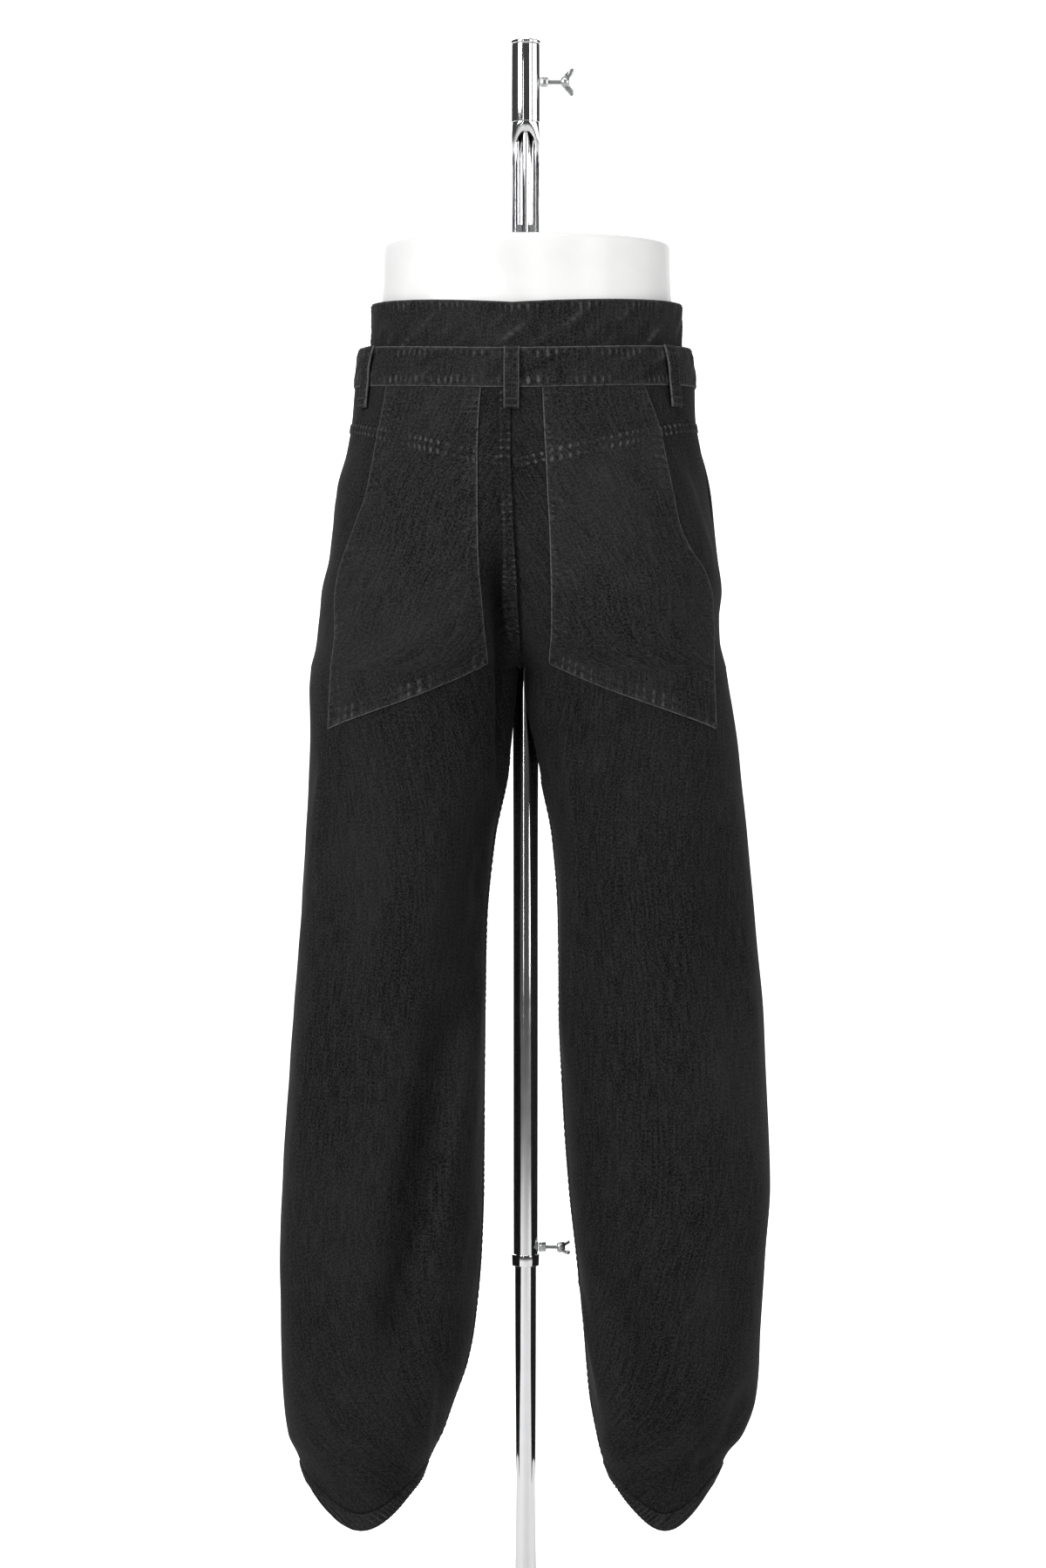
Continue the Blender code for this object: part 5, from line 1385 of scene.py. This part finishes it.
SHEETS = (  # piece, flat width, flat length, flat area, how it is held, what holds it, pieces sewn on it
    ("back_left", 0.320, 0.9892, 0.25796, "hung", ("cloth_yoke_left",),
     ("cloth_fell_inner_left", "stitching_legs")),
    ("back_right", 0.317, 0.9886, 0.25751, "hung", ("cloth_yoke_right",), ("cloth_fell_inner_right",)),
    ("front_left", 0.331, 1.0502, 0.27239, "hung", ("cloth_lower_band",), ("stitching_hips",)),
    ("front_right", 0.331, 1.0503, 0.27295, "hung", ("cloth_lower_band",), ()),
    ("yoke_left", 0.211, 0.0629, 0.00889, "draped", ("hip_form",),
     ("cloth_fell_yoke_side_left", "cloth_fell_yoke_middle_left", "cloth_fell_centre_back")),
    ("yoke_right", 0.220, 0.0628, 0.00932, "draped", ("hip_form",),
     ("cloth_fell_yoke_side_right", "cloth_fell_yoke_middle_right")),
    ("facing_left", 0.059, 0.1842, 0.00643, "draped", ("hip_form",), ()),
    ("facing_right", 0.056, 0.1800, 0.00621, "draped", ("hip_form",), ()),
    ("pocket_left", 0.176, 0.3219, 0.03763, "draped", ("cloth_back_left", "cloth_yoke_left"), ()),
    ("pocket_right", 0.185, 0.3297, 0.04107, "draped", ("cloth_back_right", "cloth_yoke_right"), ()),
    ("fly_placket", 0.038, 0.1754, 0.00608, "draped", ("cloth_front_left",), ()),
    ("hem_left", 0.416, 0.0185, 0.00707, "hung", ("cloth_back_left", "cloth_front_left"), ()),
    ("hem_right", 0.402, 0.0184, 0.00673, "hung", ("cloth_back_right", "cloth_front_right"), ()),
    ("lower_band", 0.870, 0.0362, 0.03147, "draped", ("hip_form",), ("stitching_bands",)),
    ("upper_band", 0.804, 0.0665, 0.05259, "draped", ("cloth_lower_band",), ()),
) + tuple(
    ("belt_loop_" + place[0], 0.0146, 0.0597, 0.00086, "draped", ("cloth_lower_band",), ())
    for place in LOOP_PLACES
)


def declare_sheets():
    for name, width, length, area, held, rests_on, sewn_on in SHEETS:
        list(rests_on)
        [bpy.data.objects[piece] for piece in sewn_on]


dress()
declare_sheets()
buttons()
hip_form()
tubes()
post()
clamp_screw("low", LOW_SCREW_HEIGHT, OUTER_POLE, 0.0165, 20.0, 0.0019)
clamp_screw("top", TOP_SCREW_HEIGHT, SLEEVE, 0.0185, 90.0, 0.0024)


# The set: a pale floor, soft lights and the camera behind the jeans

def floor():
    """A plain pale floor, the same all over."""
    data = mesh_of("floor", [(-9, -9, 0), (9, -9, 0), (9, 9, 0), (-9, 9, 0)], [(0, 1, 2, 3)])
    material, tree, shader = new_material("pale_floor")
    place = node(tree, "TexCoord").outputs["Object"]
    tone = mixed(tree, noise(tree, scaled(tree, place, (3.0, 3.0, 3.0))), grey(0.80), grey(0.83))
    tree.links.new(tone, shader.inputs["Base Color"])
    fixed(shader, Roughness=0.9)
    data.materials.append(material)
    linked("floor", data)


def backdrop():
    """A white lit sweep that lies on the floor behind the stand and rises far behind it."""
    turns = [math.pi / 2 * k / 12 for k in range(13)]
    rows = [(-0.30, 0.0), *((-4.0 - 1.6 * math.sin(t), 1.6 * (1 - math.cos(t))) for t in turns), (-5.6, 7.0)]
    points = [(x, y, z + 0.004) for y, z in rows for x in (-5.0, 5.0)]
    faces = [(2 * k, 2 * k + 1, 2 * k + 3, 2 * k + 2) for k in range(len(rows) - 1)]
    data = mesh_of("backdrop", points, faces)
    data.shade_smooth()
    material, _, shader = new_material("lit_backdrop")
    fixed(shader, Base_Color=grey(0.9), Roughness=0.95, Emission_Color=grey(1.0), Emission_Strength=0.9)
    data.materials.append(material)
    linked("backdrop", data)


LIGHTS = (  # place, height of the point on the axis that it faces, size, power
    ("key", (2.1, 2.1, 2.3), 1.15, (1.3, 1.5), 84),
    ("fill", (-2.05, 2.4, 1.60), 1.15, (0.9, 2.4), 30),
    ("side", (-2.6, 0.6, 1.5), 1.1, (1.8, 2.4), 23),
    ("strip", (1.15, 3.4, 1.45), 1.1, (0.12, 2.2), 5),
    ("top", (0.1, 0.9, 3.3), 1.0, (1.6, 1.2), 24),
    ("front", (0.6, -2.4, 2.2), 0.9, (1.8, 1.4), 36),
)
SURROUNDING = 0.06
CAMERA_DISTANCE = 3.1
CAMERA_HEIGHT = 0.90
CAMERA_LENS = 77.7
CAMERA_SHIFT = (-0.00167, -0.0498)


def lights():
    for name, place, height, size, power in LIGHTS:
        data = bpy.data.lights.new(name, "AREA")
        data.shape, data.size, data.size_y, data.energy = "RECTANGLE", *size, power
        lamp = linked(name, data)
        lamp.location = place
        lamp.rotation_mode = "QUATERNION"
        lamp.rotation_quaternion = (Vector((0, 0, height)) - Vector(place)).to_track_quat("-Z", "Y")
    world = bpy.data.worlds.new("studio")
    world.use_nodes = True
    fixed(world.node_tree.nodes["Background"], Color=grey(1.0), Strength=SURROUNDING)
    bpy.context.scene.world = world
    bpy.context.scene.view_settings.view_transform = "Standard"


floor()
backdrop()
lights()

camera_data = bpy.data.cameras.new("camera")
camera_data.lens, camera_data.sensor_width = CAMERA_LENS, 36.0
camera_data.shift_x, camera_data.shift_y = CAMERA_SHIFT
camera = linked("camera", camera_data)
camera.location = (0.0, CAMERA_DISTANCE, CAMERA_HEIGHT)
camera.rotation_euler = (math.pi / 2, 0.0, math.pi)
bpy.context.scene.camera = camera
